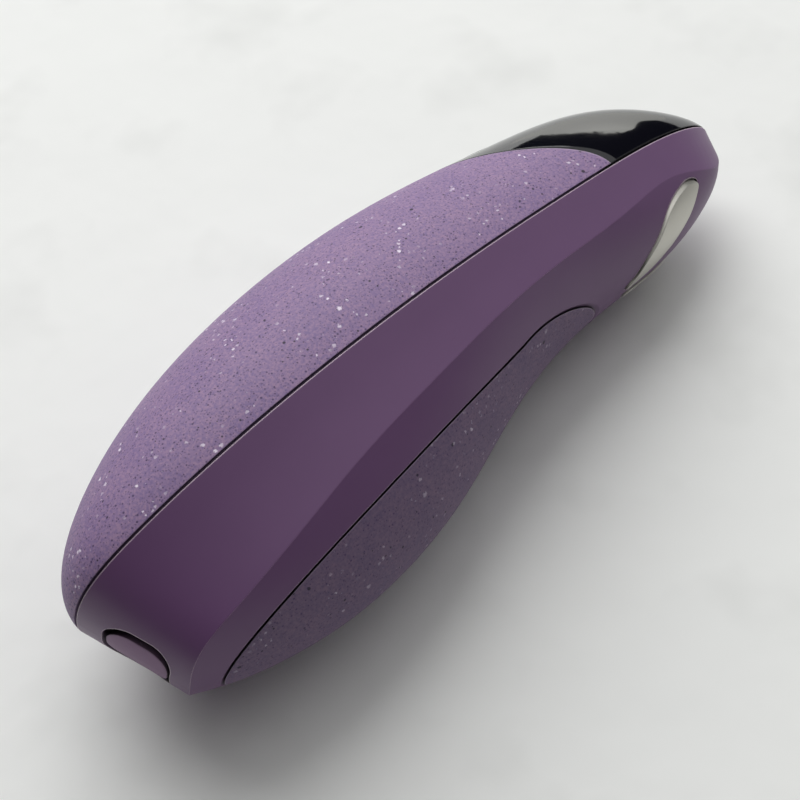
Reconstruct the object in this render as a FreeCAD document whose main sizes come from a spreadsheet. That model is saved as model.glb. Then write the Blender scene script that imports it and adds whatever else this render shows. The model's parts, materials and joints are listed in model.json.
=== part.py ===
import FreeCAD, Part
import Sketcher
import math
import os
from FreeCAD import Placement, Rotation, Vector

# A hand-held eye care device, modelled lengthwise along X from its charging end at 0 to the tip of its head.
# The back, with the control panel, is towards +Z, and the front, with the electrodes, towards -Z.
# The rim, where the frame meets the back, lies at Z = 0 and dips towards the tip.
# At the end every piece is turned onto the device's right flank, which is how it rests on a table.

SIZES = {
    # Outside of the body
    "body_length": 120.0,
    "body_width": 36.2,
    "dome_height": 20.8,
    "belly_depth": 22.7,
    "tip_drop": 4.2,
    "flank_depth": 24.0,
    "flank_taper": 3.3,
    "flank_scoop": 1.2,
    "end_taper": 6.7,
    "tip_taper": 11.7,
    # Walls and seams
    "shell_wall": 1.8,
    "frame_wall": 2.5,
    "end_wall": 4.0,
    "front_skin": 1.3,
    "rim_gap": 0.4,
    "seam_gap": 0.25,
    "seam_lip": 0.7,
    "front_seat": 2.0,
    "fit": 0.2,
    # Control panel on the back of the head
    "panel_length": 22.8,
    "tongue_length": 19.6,
    "tongue_width": 22.4,
    "flange_width": 3.0,
    "flange_wall": 1.0,
    # Keys, their switches and their board
    "keys_from_tip": 28.0,
    "key_pitch": 11.0,
    "power_key_radius": 4.5,
    "mode_key_radius": 3.3,
    "key_proud": 0.05,
    "key_gap": 0.25,
    "key_depth": 3.2,
    "key_flange": 0.8,
    "key_stem_radius": 1.6,
    "key_stem_end": 5.0,
    "key_travel": 0.4,
    "switch_top": 5.8,
    "switch_height": 3.5,
    "switch_width": 6.0,
    "plunger_radius": 1.7,
    "plunger_fit": 0.15,
    "plunger_end": 7.2,
    "key_board_length": 18.0,
    "key_board_width": 13.0,
    "key_board_thick": 1.0,
    "key_post_radius": 1.7,
    "key_post_side": 4.9,
    "key_screw_length": 3.2,
    "led_length": 1.6,
    "led_width": 0.8,
    "led_height": 0.6,
    "led_pitch": 2.2,
    # Electrodes on the front of the head
    "electrode_length": 18.6,
    "electrode_width": 6.3,
    "electrode_from_tip": 12.7,
    "electrode_side": 0.9,
    "electrode_proud": 0.25,
    "electrode_gap": 0.25,
    "post_share_along": 0.62,
    "post_share_across": 0.573,
    "post_radius": 1.2,
    "boss_radius": 2.3,
    "nut_clear": 0.4,
    "post_length": 2.2,
    "nut_radius": 2.1,
    "nut_thick": 0.9,
    "lead_radius": 0.45,
    "lead_rise": 6.4,
    "lead_back": 12.0,
    "lead_lift": 0.8,
    # Charging end
    "port_level": 8.2,
    "recess_width": 11.0,
    "recess_height": 9.4,
    "recess_corner": 3.6,
    "recess_depth": 2.8,
    "cover_gap": 0.5,
    "cover_side_gap": 1.6,
    "cover_sink": 0.2,
    "cover_thick": 2.0,
    "plug_wall": 0.55,
    "plug_length": 5.0,
    "socket_width": 8.94,
    "socket_height": 3.2,
    "socket_wall": 0.3,
    "socket_length": 7.4,
    "socket_inset": 1.5,
    "tongue_plate_width": 6.6,
    "tongue_plate_thick": 0.7,
    "tongue_plate_inset": 1.6,
    "tongue_block": 2.2,
    "charge_board_length": 9.5,
    "charge_board_width": 10.4,
    "charge_board_thick": 0.8,
    "charge_board_inset": 3.2,
    # Chassis and what it carries
    "chassis_thick": 1.6,
    "chassis_from_tip": 36.0,
    "ledge_width": 1.5,
    "ledge_thick": 1.6,
    "chassis_screw_near": 26.0,
    "chassis_screw_far": 62.0,
    "chassis_screw_inset": 7.2,
    "chassis_boss_radius": 2.2,
    "chassis_boss_depth": 4.6,
    "screw_head_radius": 1.7,
    "screw_head_height": 1.0,
    "screw_radius": 0.8,
    "chassis_screw_length": 5.0,
    "board_screw_length": 3.2,
    "standoff_radius": 2.0,
    "standoff_height": 1.5,
    "board_start": 16.0,
    "board_from_tip": 42.0,
    "board_width": 19.0,
    "board_thick": 1.0,
    "board_hole_inset": 2.6,
    "coil_from_end": 15.5,
    "coil_radius": 5.0,
    "coil_height": 6.0,
    "chip_from_end": 31.0,
    "chip_width": 7.0,
    "chip_height": 1.0,
    "capacitors_inset": 15.5,
    "capacitor_radius": 2.5,
    "capacitor_height": 7.0,
    "battery_plug_length": 6.0,
    "battery_plug_width": 4.5,
    "battery_plug_height": 3.5,
    "battery_start": 24.5,
    "battery_length": 33.0,
    "battery_width": 16.6,
    "battery_thick": 5.0,
    "battery_round": 1.2,
    "tape_thick": 0.4,
    # How the device rests: turned about its length and tipped along it
    "rest_roll": -75.5,
    "rest_pitch": 3.95,
}

# Control stations of the rim and the dome above it, each value a share of a size above:
# place along the length, half width, rise of the dome and drop of the rim.
DOME_STATIONS = (
    (0.000, 0.00, 0.00, 0.00),
    (0.000, 0.48, 0.22, 0.00),
    (0.075, 0.79, 0.59, 0.00),
    (0.267, 1.04, 0.935, 0.00),
    (0.517, 0.98, 1.013, 0.12),
    (0.733, 0.70, 0.807, 0.33),
    (0.900, 0.53, 0.68, 0.62),
    (0.988, 0.20, 0.17, 0.94),
    (1.000, 0.00, 0.00, 1.00),
)

# Control stations of the belly: place along the length, depth, and half widths at the rim and at the keel.
BELLY_STATIONS = (
    (-0.100, 0.194, 1.10, 0.55),
    (0.033, 0.742, 1.10, 0.56),
    (0.150, 0.963, 1.19, 0.59),
    (0.267, 1.029, 1.19, 0.59),
    (0.400, 0.948, 1.19, 0.59),
    (0.533, 0.697, 1.19, 0.60),
    (0.667, 0.592, 1.05, 0.57),
    (0.800, 0.667, 0.70, 0.53),
    (0.917, 0.584, 0.50, 0.40),
    (0.983, 0.425, 0.40, 0.33),
    (1.008, 0.088, 0.35, 0.30),
)
NOSE = 0.95

# Seam of the front shell in side view: place along the length and depth below the rim.
FRONT_SEAM = ((0.03, 0.795), (0.32, 0.685), (0.55, 0.565), (0.62, 0.55), (0.695, 0.64))

# Outline of the left electrode: place from its tail to its top, and from its inner to its outer edge.
ELECTRODE_OUTLINE = (
    (0.00, 0.03),
    (0.015, 0.075),
    (0.06, 0.14),
    (0.18, 0.40),
    (0.31, 0.63),
    (0.42, 0.79),
    (0.54, 0.94),
    (0.66, 1.00),
    (0.82, 0.98),
    (0.94, 0.90),
    (1.00, 0.79),
    (0.95, 0.71),
    (0.85, 0.59),
    (0.72, 0.46),
    (0.57, 0.32),
    (0.42, 0.19),
    (0.28, 0.08),
    (0.12, 0.005),
    (0.06, -0.015),
    (0.015, -0.01),
)

FAR = 200.0
OVERRUN = 2.0

doc = FreeCAD.newDocument("EyeCareDevice")
sheet = doc.addObject("Spreadsheet::Sheet", "Size")
for row, (alias, value) in enumerate(SIZES.items(), start=1):
    sheet.set(f"A{row}", alias)
    sheet.set(f"B{row}", str(value))
    sheet.setAlias(f"B{row}", alias)
doc.recompute()


def size(alias):
    """Read a driving dimension from the sheet."""
    return float(sheet.get(alias))


# Parametric building blocks


def bind_place(obj, place):
    """Tie an object's base point to three expressions."""
    for axis, text in zip("xyz", place):
        obj.setExpression(f"Placement.Base.{axis}", text)


def box(name, place, extents):
    obj = doc.addObject("Part::Box", name)
    for side, text in zip(("Length", "Width", "Height"), extents):
        obj.setExpression(side, text)
    bind_place(obj, place)
    return obj


def cylinder(name, place, radius, height, turn=Rotation()):
    obj = doc.addObject("Part::Cylinder", name)
    obj.setExpression("Radius", radius)
    obj.setExpression("Height", height)
    obj.Placement = Placement(Vector(), turn)
    bind_place(obj, place)
    return obj


def held(name, shape):
    """An object that holds a shape made with Part's own functions."""
    obj = doc.addObject("Part::Feature", name)
    obj.Shape = shape
    return obj


def boolean(kind, name, base, tool):
    obj = doc.addObject(f"Part::{kind}", name)
    obj.Base = base
    obj.Tool = tool
    return obj


def cut(name, base, *tools):
    for number, tool in enumerate(tools, start=1):
        last = number == len(tools)
        base = boolean("Cut", name if last else f"{name}_cut_{number}", base, tool)
    return base


def common(name, base, tool):
    return boolean("Common", name, base, tool)


def fuse(name, *pieces):
    obj = doc.addObject("Part::MultiFuse", name)
    obj.Shapes = list(pieces)
    return obj


def group(name, pieces):
    """Several separate solids in one node."""
    obj = doc.addObject("Part::Compound", name)
    obj.Links = list(pieces)
    return obj


# Free-form surfaces of the body


def clamped_knots(count):
    spans = count - 3
    mults = [4] + [1] * (spans - 1) + [4]
    knots = [step / spans for step in range(spans + 1)]
    return mults, knots


def patch(rows, mults, knots, degree, weights):
    """One face from rows of control points that run along the body."""
    along_mults, along_knots = clamped_knots(len(rows[0]))
    grid = [[weight] * len(rows[0]) for weight in weights]
    surface = Part.BSplineSurface()
    surface.buildFromPolesMultsKnots(
        rows, mults, along_mults, knots, along_knots, False, False, degree, 3, grid
    )
    return surface.toShape()


def ruled(first, second):
    return patch([first, second], [2, 2], [0, 1], 1, [1, 1])


def closed_solid(faces):
    shell = Part.makeShell(faces)
    shell.sewShape()
    solid = Part.Solid(shell)
    if solid.Volume < 0:
        solid.reverse()
    return solid


def body_stations(grow, end_grow):
    """Stations of the rim and dome, moved outwards by grow, and by end_grow at the charging end."""
    stations = []
    before_tip, tip = DOME_STATIONS[-3], DOME_STATIONS[-2]
    tip_run = (tip[0] - before_tip[0]) * size("body_length")
    tip_slope = (tip[3] - before_tip[3]) * size("tip_drop") / tip_run
    for along, width, rise, drop in DOME_STATIONS:
        x = along * size("body_length")
        z = -drop * size("tip_drop")
        if along == 0:
            x -= end_grow
        if along > NOSE:
            x += grow
            z -= tip_slope * grow
        half = width * size("body_width") / 2 + grow if width else 0.0
        height = rise * size("dome_height") + grow if rise else 0.0
        stations.append((x, half, z, height))
    return stations


def dome(grow, sink):
    """The solid above the rim, with half-elliptical sections. Its base lies sink below the rim."""
    diagonal = math.sqrt(0.5)
    rows = [[] for side in range(5)]
    for x, half, z, height in body_stations(grow, grow):
        crown = height + sink if height else 0.0
        section = ((half, 0.0), (half, crown), (0.0, crown), (-half, crown), (-half, 0.0))
        for row, (y, up) in zip(rows, section):
            row.append(Vector(x, y, z - sink + up))
    arch = patch(rows, [3, 2, 3], [0, 0.5, 1], 2, [1, diagonal, 1, diagonal, 1])
    base = ruled(rows[0], rows[-1])
    return closed_solid([arch, base])


def flank_row(stations, side, depth, scoop):
    """Control points of one flank at a depth below the rim, where the outline has drawn in."""
    share = depth / size("flank_depth")
    start = size("end_taper") * share
    shrink_along = 1 - (size("end_taper") + size("tip_taper")) * share / size("body_length")
    shrink_across = 1 - (size("flank_taper") * share + scoop) / (size("body_width") / 2)
    return [
        Vector(start + x * shrink_along, side * half * shrink_across, z - depth)
        for x, half, z, height in stations
    ]


def belly_face(grow):
    rows = [[] for side in range(5)]
    for along, depth, top, keel in BELLY_STATIONS:
        x = along * size("body_length") + (grow if along > NOSE else 0.0)
        low = -depth * size("belly_depth") - grow
        wide = top * size("body_width") / 2 + grow
        narrow = keel * size("body_width") / 2 + grow / 2
        section = ((wide, 0.0), (narrow, low), (0.0, low), (-narrow, low), (-wide, 0.0))
        for row, (y, z) in zip(rows, section):
            row.append(Vector(x, y, z))
    return patch(rows, [3, 2, 3], [0, 0.5, 1], 2, [1] * 5)


def hull(grow, end_grow, rise):
    """The solid below the rim: scooped flanks, trimmed by the belly. Its top lies rise above the rim."""
    stations = body_stations(grow, end_grow)
    depth = size("flank_depth")
    flanks = []
    for side in (-1, 1):
        top = flank_row(stations, side, -rise, 0.0)
        middle = flank_row(stations, side, (depth - rise) / 2, 2 * size("flank_scoop"))
        low = flank_row(stations, side, depth, 0.0)
        flanks.append((top, middle, low))
    left, right = flanks
    faces = [patch(rows, [3, 3], [0, 1], 2, [1, 1, 1]) for rows in flanks]
    sides = closed_solid([*faces, ruled(left[0], right[0]), ruled(left[2], right[2])])
    return sides.cut(belly_face(grow).extrude(Vector(0, 0, -FAR)))


def prism(edges, direction):
    return Part.Face(Part.Wire(edges)).extrude(direction)


def front_seam_prism(grow):
    """Everything below the front shell's seam, which is moved outwards by grow."""
    points = [
        Vector(along * size("body_length"), -FAR / 2, -depth * size("belly_depth") + grow)
        for along, depth in FRONT_SEAM
    ]
    points[-1] = points[-1] + Vector(grow, 0, 0)
    start, middle, turn, crown, end = points
    floor_start = Vector(start.x, start.y, -FAR)
    floor_end = Vector(end.x, end.y, -FAR)
    edges = [
        Part.LineSegment(floor_start, start).toShape(),
        Part.Arc(start, middle, turn).toShape(),
        Part.Arc(turn, crown, end).toShape(),
        Part.LineSegment(end, floor_end).toShape(),
        Part.LineSegment(floor_end, floor_start).toShape(),
    ]
    return prism(edges, Vector(0, FAR, 0))


def panel_prism(grow):
    """Everything on the head's side of the panel's edge, which is moved outwards by grow."""
    rim_end = size("body_length") - size("panel_length")
    half = size("tongue_width") / 2 + grow
    reach = size("tongue_length") + grow
    middle = Vector(rim_end, 0, -FAR / 2)
    ellipse = Part.Ellipse(middle - Vector(reach, 0, 0), middle + Vector(0, half, 0), middle)
    tongue = Part.Arc(ellipse, -math.pi / 2, math.pi / 2).toShape()
    first, last = tongue.Vertexes[0].Point, tongue.Vertexes[-1].Point
    corners = [last]
    for x, side in ((last.x, last.y), (FAR, last.y), (FAR, first.y), (first.x, first.y)):
        corners.append(Vector(x, math.copysign(FAR, side), -FAR / 2))
    corners.append(first)
    edges = [tongue]
    for start, end in zip(corners, corners[1:]):
        edges.append(Part.LineSegment(start, end).toShape())
    return prism(edges, Vector(0, 0, FAR))


def electrode_point(along, across, side):
    """A place on the head's front, by shares of an electrode's length and width."""
    tail = size("body_length") - size("electrode_from_tip") - size("electrode_length")
    x = tail + along * size("electrode_length")
    y = size("electrode_side") + across * size("electrode_width")
    return Vector(x, side * y, -FAR / 2)


def electrode_prism(side, grow):
    """An upright prism on an electrode's outline, which is moved outwards by grow."""
    points = [electrode_point(along, across, side) for along, across in ELECTRODE_OUTLINE]
    moved = []
    for before, here, after in zip(points[-1:] + points[:-1], points, points[1:] + points[:1]):
        run = (after - before).normalize()
        moved.append(here + Vector(-run.y, run.x, 0) * side * grow)
    outline = Part.BSplineCurve()
    outline.interpolate(Points=moved, PeriodicFlag=True)
    return Part.Face(Part.Wire(outline.toShape())).extrude(Vector(0, 0, FAR / 2))


# Outer and inner solids that the casing pieces are cut from

wall = size("frame_wall")
skin = size("front_skin")
shell_wall = size("shell_wall")
end_wall = size("end_wall")
fit_inset = wall + size("fit")
ledge_inset = wall + size("ledge_width")
hull_outside = held("hull_outside", hull(0.0, 0.0, 0.0))
hull_proud = held("hull_proud", hull(size("electrode_proud"), 0.0, 0.0))
hull_skin = held("hull_skin", hull(-skin, -skin, OVERRUN))
hull_inside = held("hull_inside", hull(-wall, -end_wall, OVERRUN))
hull_ledge = held("hull_ledge", hull(-ledge_inset, -end_wall - size("ledge_width"), OVERRUN))
hull_fit = held("hull_fit", hull(-fit_inset, -end_wall - size("fit"), OVERRUN))
recess_floor = held("recess_floor", hull(-size("recess_depth"), -size("recess_depth"), OVERRUN))
cover_front = held("cover_front", hull(-size("cover_sink"), -size("cover_sink"), OVERRUN))
cover_back = held("cover_back", hull(-size("cover_thick"), -size("cover_thick"), OVERRUN))
back_outside = held("back_outside", dome(0.0, -size("rim_gap")))
back_lip = held("back_lip", dome(-size("seam_lip"), 0.0))
back_inside = held("back_inside", dome(-shell_wall, OVERRUN))

# Back shell and control panel: one dome, parted along the panel's tongue

back_cover = cut("back_cover", fuse("back_blank", back_outside, back_lip), back_inside)
back_shell = cut("back_shell", back_cover, held("panel_side", panel_prism(size("seam_gap"))))

flange_inset = shell_wall + size("flange_wall")
flange_reach = held("flange_reach", panel_prism(size("flange_width")))
flange_blank = common("flange_blank", common("flange_room", back_inside, back_lip), flange_reach)
panel_flange = cut("panel_flange", flange_blank, held("flange_inside", dome(-flange_inset, OVERRUN)))
panel_skin = common("panel_skin", back_cover, held("panel_reach", panel_prism(0.0)))

# The keys stand square to the panel, in a frame whose Z points out of it between the two keys


def crest(x):
    """Height of the back on its centre line."""
    probe = Part.makeLine(Vector(x, 0, 0), Vector(x, 0, FAR))
    return back_outside.Shape.common(probe).BoundBox.ZMax


key_half_pitch = size("key_pitch") / 2
keys_x = size("body_length") - size("keys_from_tip")
key_fall = crest(keys_x - key_half_pitch) - crest(keys_x + key_half_pitch)
key_tilt = math.degrees(math.atan2(key_fall, size("key_pitch")))
PANEL = Placement(Vector(keys_x, 0, crest(keys_x)), Rotation(Vector(0, 1, 0), key_tilt))


def on_panel(obj, along, across, up):
    """Move an object into the panel's frame."""
    obj.Placement = PANEL.multiply(Placement(Vector(along, across, up), Rotation()))
    return obj


def panel_cylinder(name, along, across, low, radius, height):
    return on_panel(cylinder(name, (), radius, height), along, across, low)


switch_low = size("switch_top") + size("switch_height")
board_low = switch_low + size("key_board_thick")
key_seat = size("seam_gap") + shell_wall
key_proud = held("key_proud", dome(size("key_proud"), 0.0))
key_under = held("key_under", dome(-size("key_depth"), OVERRUN))
flange_top = held("flange_top", dome(-key_seat, OVERRUN))
KEYS = (("power", -key_half_pitch), ("mode", key_half_pitch))


def key_column(name, along, radius):
    """A cylinder on a key's axis that runs well past the panel on both sides."""
    return panel_cylinder(name, along, 0, -2 * size("key_stem_end"), radius, "4 * Size.key_stem_end")


def key_cap(kind, along):
    """A round key with a flange under the panel and a stem that presses its switch."""
    radius = f"Size.{kind}_key_radius"
    top = common(f"{kind}_key_top", key_proud, key_column(f"{kind}_key_reach", along, radius))
    wide = key_column(f"{kind}_key_wide", along, f"{radius} + Size.key_flange")
    flange = common(f"{kind}_key_flange", flange_top, wide)
    crown = cut(f"{kind}_key_crown", fuse(f"{kind}_key_blank", top, flange), key_under)
    stem = panel_cylinder(
        f"{kind}_key_stem",
        along,
        0,
        -size("key_stem_end"),
        "Size.key_stem_radius",
        "Size.key_stem_end - Size.key_depth + Size.shell_wall / 2",
    )
    return fuse(f"{kind}_key", crown, stem)


def switch_plunger(kind, along):
    low = -size("plunger_end")
    height = "Size.plunger_end - Size.key_stem_end"
    return panel_cylinder(f"{kind}_plunger", along, 0, low, "Size.plunger_radius", height)


def switch_housing(kind, along):
    half = size("switch_width") / 2
    block = box(f"{kind}_switch_block", (), ("Size.switch_width", "Size.switch_width", "Size.switch_height"))
    on_panel(block, along - half, -half, -switch_low)
    bore_low = -size("plunger_end") - 2 * size("key_travel")
    bore_radius = "Size.plunger_radius + Size.plunger_fit"
    bore = panel_cylinder(f"{kind}_switch_bore", along, 0, bore_low, bore_radius, "Size.switch_height")
    return cut(f"{kind}_switch", block, bore)


keys = {kind: key_cap(kind, along) for kind, along in KEYS}
plungers = {kind: switch_plunger(kind, along) for kind, along in KEYS}
key_switches = group("key_switches", [switch_housing(kind, along) for kind, along in KEYS])

key_holes = []
key_rooms = []
for kind, along in KEYS:
    radius = f"Size.{kind}_key_radius + Size.key_gap"
    key_holes.append(key_column(f"{kind}_key_hole", along, radius))
    key_rooms.append(key_column(f"{kind}_key_room", along, f"{radius} + Size.key_flange"))
post_tops = held("post_tops", dome(-shell_wall / 2, 0.0))
key_posts = []
key_screws = []
key_pilots = []
for number, side in enumerate((-1, 1)):
    across = side * size("key_post_side")
    post_size = ("Size.key_post_radius", "Size.switch_top + Size.switch_height")
    post = panel_cylinder(f"key_post_{number}", 0, across, -switch_low, *post_size)
    key_posts.append(common(f"key_post_top_{number}", post, post_tops))
    bolt = ("Size.screw_radius", "Size.key_screw_length")
    key_pilots.append(panel_cylinder(f"key_pilot_{number}", 0, across, -board_low, *bolt))
    shank = panel_cylinder(f"key_screw_shank_{number}", 0, across, -board_low, *bolt)
    head_low = -board_low - size("screw_head_height")
    head_size = ("Size.screw_head_radius", "Size.screw_head_height")
    head = panel_cylinder(f"key_screw_head_{number}", 0, across, head_low, *head_size)
    key_screws.append(fuse(f"key_screw_{number}", head, shank))
key_board_screws = group("key_board_screws", key_screws)
panel_inner = cut("panel_inner", panel_flange, *key_rooms)
panel_blank = fuse("panel_blank", panel_skin, panel_inner, *key_posts)
control_panel = cut("control_panel", panel_blank, *key_holes, *key_pilots)

# Boards: a plate with screw holes, sketched from its own corner


def board(name, length, width, thick, holes):
    body = doc.addObject("PartDesign::Body", name)
    plane = next(item for item in body.Origin.OriginFeatures if item.Role == "XY_Plane")
    outline = body.newObject("Sketcher::SketchObject", f"{name}_outline")
    outline.AttachmentSupport = [(plane, "")]
    outline.MapMode = "FlatFace"
    corners = [Vector(0, 0, 0), Vector(10, 0, 0), Vector(10, 10, 0), Vector(0, 10, 0)]
    for start, end in zip(corners, corners[1:] + corners[:1]):
        outline.addGeometry(Part.LineSegment(start, end))
    for line in range(4):
        outline.addConstraint(Sketcher.Constraint("Coincident", line, 2, (line + 1) % 4, 1))
        direction = "Horizontal" if line % 2 == 0 else "Vertical"
        outline.addConstraint(Sketcher.Constraint(direction, line))
    outline.addConstraint(Sketcher.Constraint("Coincident", 0, 1, -1, 1))
    along = outline.addConstraint(Sketcher.Constraint("DistanceX", 0, 1, 0, 2, 10))
    across = outline.addConstraint(Sketcher.Constraint("DistanceY", 1, 1, 1, 2, 10))
    outline.setExpression(f"Constraints[{along}]", length)
    outline.setExpression(f"Constraints[{across}]", width)
    pad = body.newObject("PartDesign::Pad", f"{name}_pad")
    pad.Profile = outline
    pad.setExpression("Length", thick)
    doc.recompute()
    if holes:
        drills = body.newObject("Sketcher::SketchObject", f"{name}_holes")
        drills.AttachmentSupport = [(plane, "")]
        drills.MapMode = "FlatFace"
        for x, y in holes:
            circle = drills.addGeometry(Part.Circle(Vector(5, 5, 0), Vector(0, 0, 1), 1))
            radius = drills.addConstraint(Sketcher.Constraint("Radius", circle, 1))
            right = drills.addConstraint(Sketcher.Constraint("DistanceX", -1, 1, circle, 3, 5))
            up = drills.addConstraint(Sketcher.Constraint("DistanceY", -1, 1, circle, 3, 5))
            drills.setExpression(f"Constraints[{radius}]", "Size.screw_radius")
            drills.setExpression(f"Constraints[{right}]", x)
            drills.setExpression(f"Constraints[{up}]", y)
        pocket = body.newObject("PartDesign::Pocket", f"{name}_drill")
        pocket.Profile = drills
        pocket.Type = "ThroughAll"
        pocket.Reversed = True
        doc.recompute()
        if pocket.Shape.Volume >= pad.Shape.Volume:
            raise RuntimeError(f"{name}: the holes cut nothing")
    return body


key_board = board(
    "key_board",
    "Size.key_board_length",
    "Size.key_board_width",
    "Size.key_board_thick",
    [
        ("Size.key_board_length / 2", "Size.key_board_width / 2 - Size.key_post_side"),
        ("Size.key_board_length / 2", "Size.key_board_width / 2 + Size.key_post_side"),
    ],
)
on_panel(key_board, -size("key_board_length") / 2, -size("key_board_width") / 2, -board_low)

leds = []
for step in (-1, 0, 1):
    led = box(f"led_{step + 2}", (), ("Size.led_width", "Size.led_length", "Size.led_height"))
    across = step * size("led_pitch") - size("led_length") / 2
    leds.append(on_panel(led, -size("led_width") / 2, across, -switch_low))
indicator_leds = group("indicator_leds", leds)

# Chassis level, counted down from the rim: the charging socket hangs under the chassis on its board

SEAT = "(Size.port_level - Size.socket_height / 2 - Size.charge_board_thick)"
seat = size("port_level") - size("socket_height") / 2 - size("charge_board_thick")
CHASSIS_TOP = f"({SEAT} - Size.chassis_thick)"
BOARD_SEAT = f"({CHASSIS_TOP} - Size.standoff_height)"
BOARD_TOP = f"({BOARD_SEAT} - Size.board_thick)"
CHASSIS_END = "(Size.body_length - Size.chassis_from_tip)"
BOARD_END = "(Size.body_length - Size.board_from_tip)"
BOARD_LENGTH = f"({BOARD_END} - Size.board_start)"

# Charging end: all of it lies along X at the port's level

ALONG_X = Rotation(Vector(0, 1, 0), 90)
PORT_FACE = "(Size.end_taper * Size.port_level / Size.flank_depth)"
MOUTH = f"({PORT_FACE} + Size.recess_depth + Size.socket_inset)"


def slot_bar(name, start, width, height, length):
    """A bar along X with a slot-shaped section, centred at the port's level."""
    flat = f"({width} - {height})"
    radius = f"{height} / 2"
    corner = (start, f"-{flat} / 2", f"-Size.port_level - {radius}")
    middle = box(f"{name}_middle", corner, (length, flat, height))
    ends = []
    for side, sign in (("left", "-"), ("right", "")):
        place = (start, f"{sign}{flat} / 2", "-Size.port_level")
        ends.append(cylinder(f"{name}_end_{side}", place, radius, length, ALONG_X))
    return fuse(name, middle, *ends)


def rounded_bar(name, width, height, corner):
    """A bar along X, right through the end wall, with a rounded square section centred at the port's level."""
    start = "-Size.end_wall"
    length = "4 * Size.end_wall"
    inner_width = f"({width} - 2 * {corner})"
    inner_height = f"({height} - 2 * {corner})"
    wide_corner = (start, f"-{width} / 2", f"-Size.port_level - {inner_height} / 2")
    wide = box(f"{name}_wide", wide_corner, (length, width, inner_height))
    tall_corner = (start, f"-{inner_width} / 2", f"-Size.port_level - {height} / 2")
    tall = box(f"{name}_tall", tall_corner, (length, inner_width, height))
    rounds = []
    for side, across in (("left", "-"), ("right", "")):
        for level, up in (("low", "-"), ("high", "+")):
            place = (start, f"{across}{inner_width} / 2", f"-Size.port_level {up} {inner_height} / 2")
            rounds.append(cylinder(f"{name}_{side}_{level}", place, corner, length, ALONG_X))
    return fuse(name, wide, tall, *rounds)


def slot_tube(name, start, width, height, wall_text, length):
    """A slot bar with a slot-shaped bore right through it."""
    outer = slot_bar(f"{name}_outer", start, width, height, length)
    inner_width = f"({width} - 2 * {wall_text})"
    inner_height = f"({height} - 2 * {wall_text})"
    inner_run = (f"{start} - {height}", inner_width, inner_height, f"{length} + 2 * {height}")
    inner = slot_bar(f"{name}_inner", *inner_run)
    return cut(name, outer, inner)


recess_bar = rounded_bar("recess_bar", "Size.recess_width", "Size.recess_height", "Size.recess_corner")
recess = cut("recess", recess_bar, recess_floor)
port_slot = slot_bar(
    "port_slot",
    "0",
    "(Size.socket_width + 2 * Size.fit)",
    "(Size.socket_height + 2 * Size.fit)",
    "4 * Size.end_wall",
)
cover_bar = rounded_bar(
    "cover_bar",
    "(Size.recess_width - 2 * Size.cover_side_gap)",
    "(Size.recess_height - 2 * Size.cover_gap)",
    "(Size.recess_corner - Size.cover_gap)",
)
cover_cap = cut("cover_cap", common("cover_blank", cover_front, cover_bar), cover_back)
PLUG_WIDTH = "(Size.socket_width - 2 * Size.socket_wall - 2 * Size.fit)"
PLUG_HEIGHT = "(Size.socket_height - 2 * Size.socket_wall - 2 * Size.fit)"
cover_plug = slot_tube(
    "cover_plug",
    f"({PORT_FACE} + Size.cover_thick / 2)",
    PLUG_WIDTH,
    PLUG_HEIGHT,
    "Size.plug_wall",
    "(Size.cover_thick / 2 + Size.plug_length)",
)
port_cover = fuse("port_cover", cover_cap, cover_plug)

charge_socket = slot_tube(
    "charge_socket",
    MOUTH,
    "Size.socket_width",
    "Size.socket_height",
    "Size.socket_wall",
    "Size.socket_length",
)
INNER_WIDTH = "(Size.socket_width - 2 * Size.socket_wall)"
INNER_HEIGHT = "(Size.socket_height - 2 * Size.socket_wall)"
socket_block = slot_bar(
    "socket_block",
    f"({MOUTH} + Size.socket_length - Size.tongue_block)",
    INNER_WIDTH,
    INNER_HEIGHT,
    "Size.tongue_block",
)
socket_plate = box(
    "socket_plate",
    (
        f"{MOUTH} + Size.tongue_plate_inset",
        "-Size.tongue_plate_width / 2",
        "-Size.port_level - Size.tongue_plate_thick / 2",
    ),
    (
        "Size.socket_length - Size.tongue_plate_inset",
        "Size.tongue_plate_width",
        "Size.tongue_plate_thick",
    ),
)
socket_tongue = fuse("socket_tongue", socket_block, socket_plate)
charge_board = board(
    "charge_board", "Size.charge_board_length", "Size.charge_board_width", "Size.charge_board_thick", []
)
charge_board_corner = (
    f"{MOUTH} + Size.charge_board_inset",
    "-Size.charge_board_width / 2",
    f"-{SEAT} - Size.charge_board_thick",
)
bind_place(charge_board, charge_board_corner)

# Frame: flanks, nose and charging end in one piece, with a ledge and bosses for the chassis

WIDE = "2 * Size.body_width"
ledge_slab = box(
    "ledge_slab",
    ("0", "-Size.body_width", f"-{SEAT} - Size.ledge_thick"),
    (CHASSIS_END, WIDE, "Size.ledge_thick"),
)
ledge = cut("ledge", common("ledge_ring", hull_inside, ledge_slab), hull_ledge)

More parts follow.
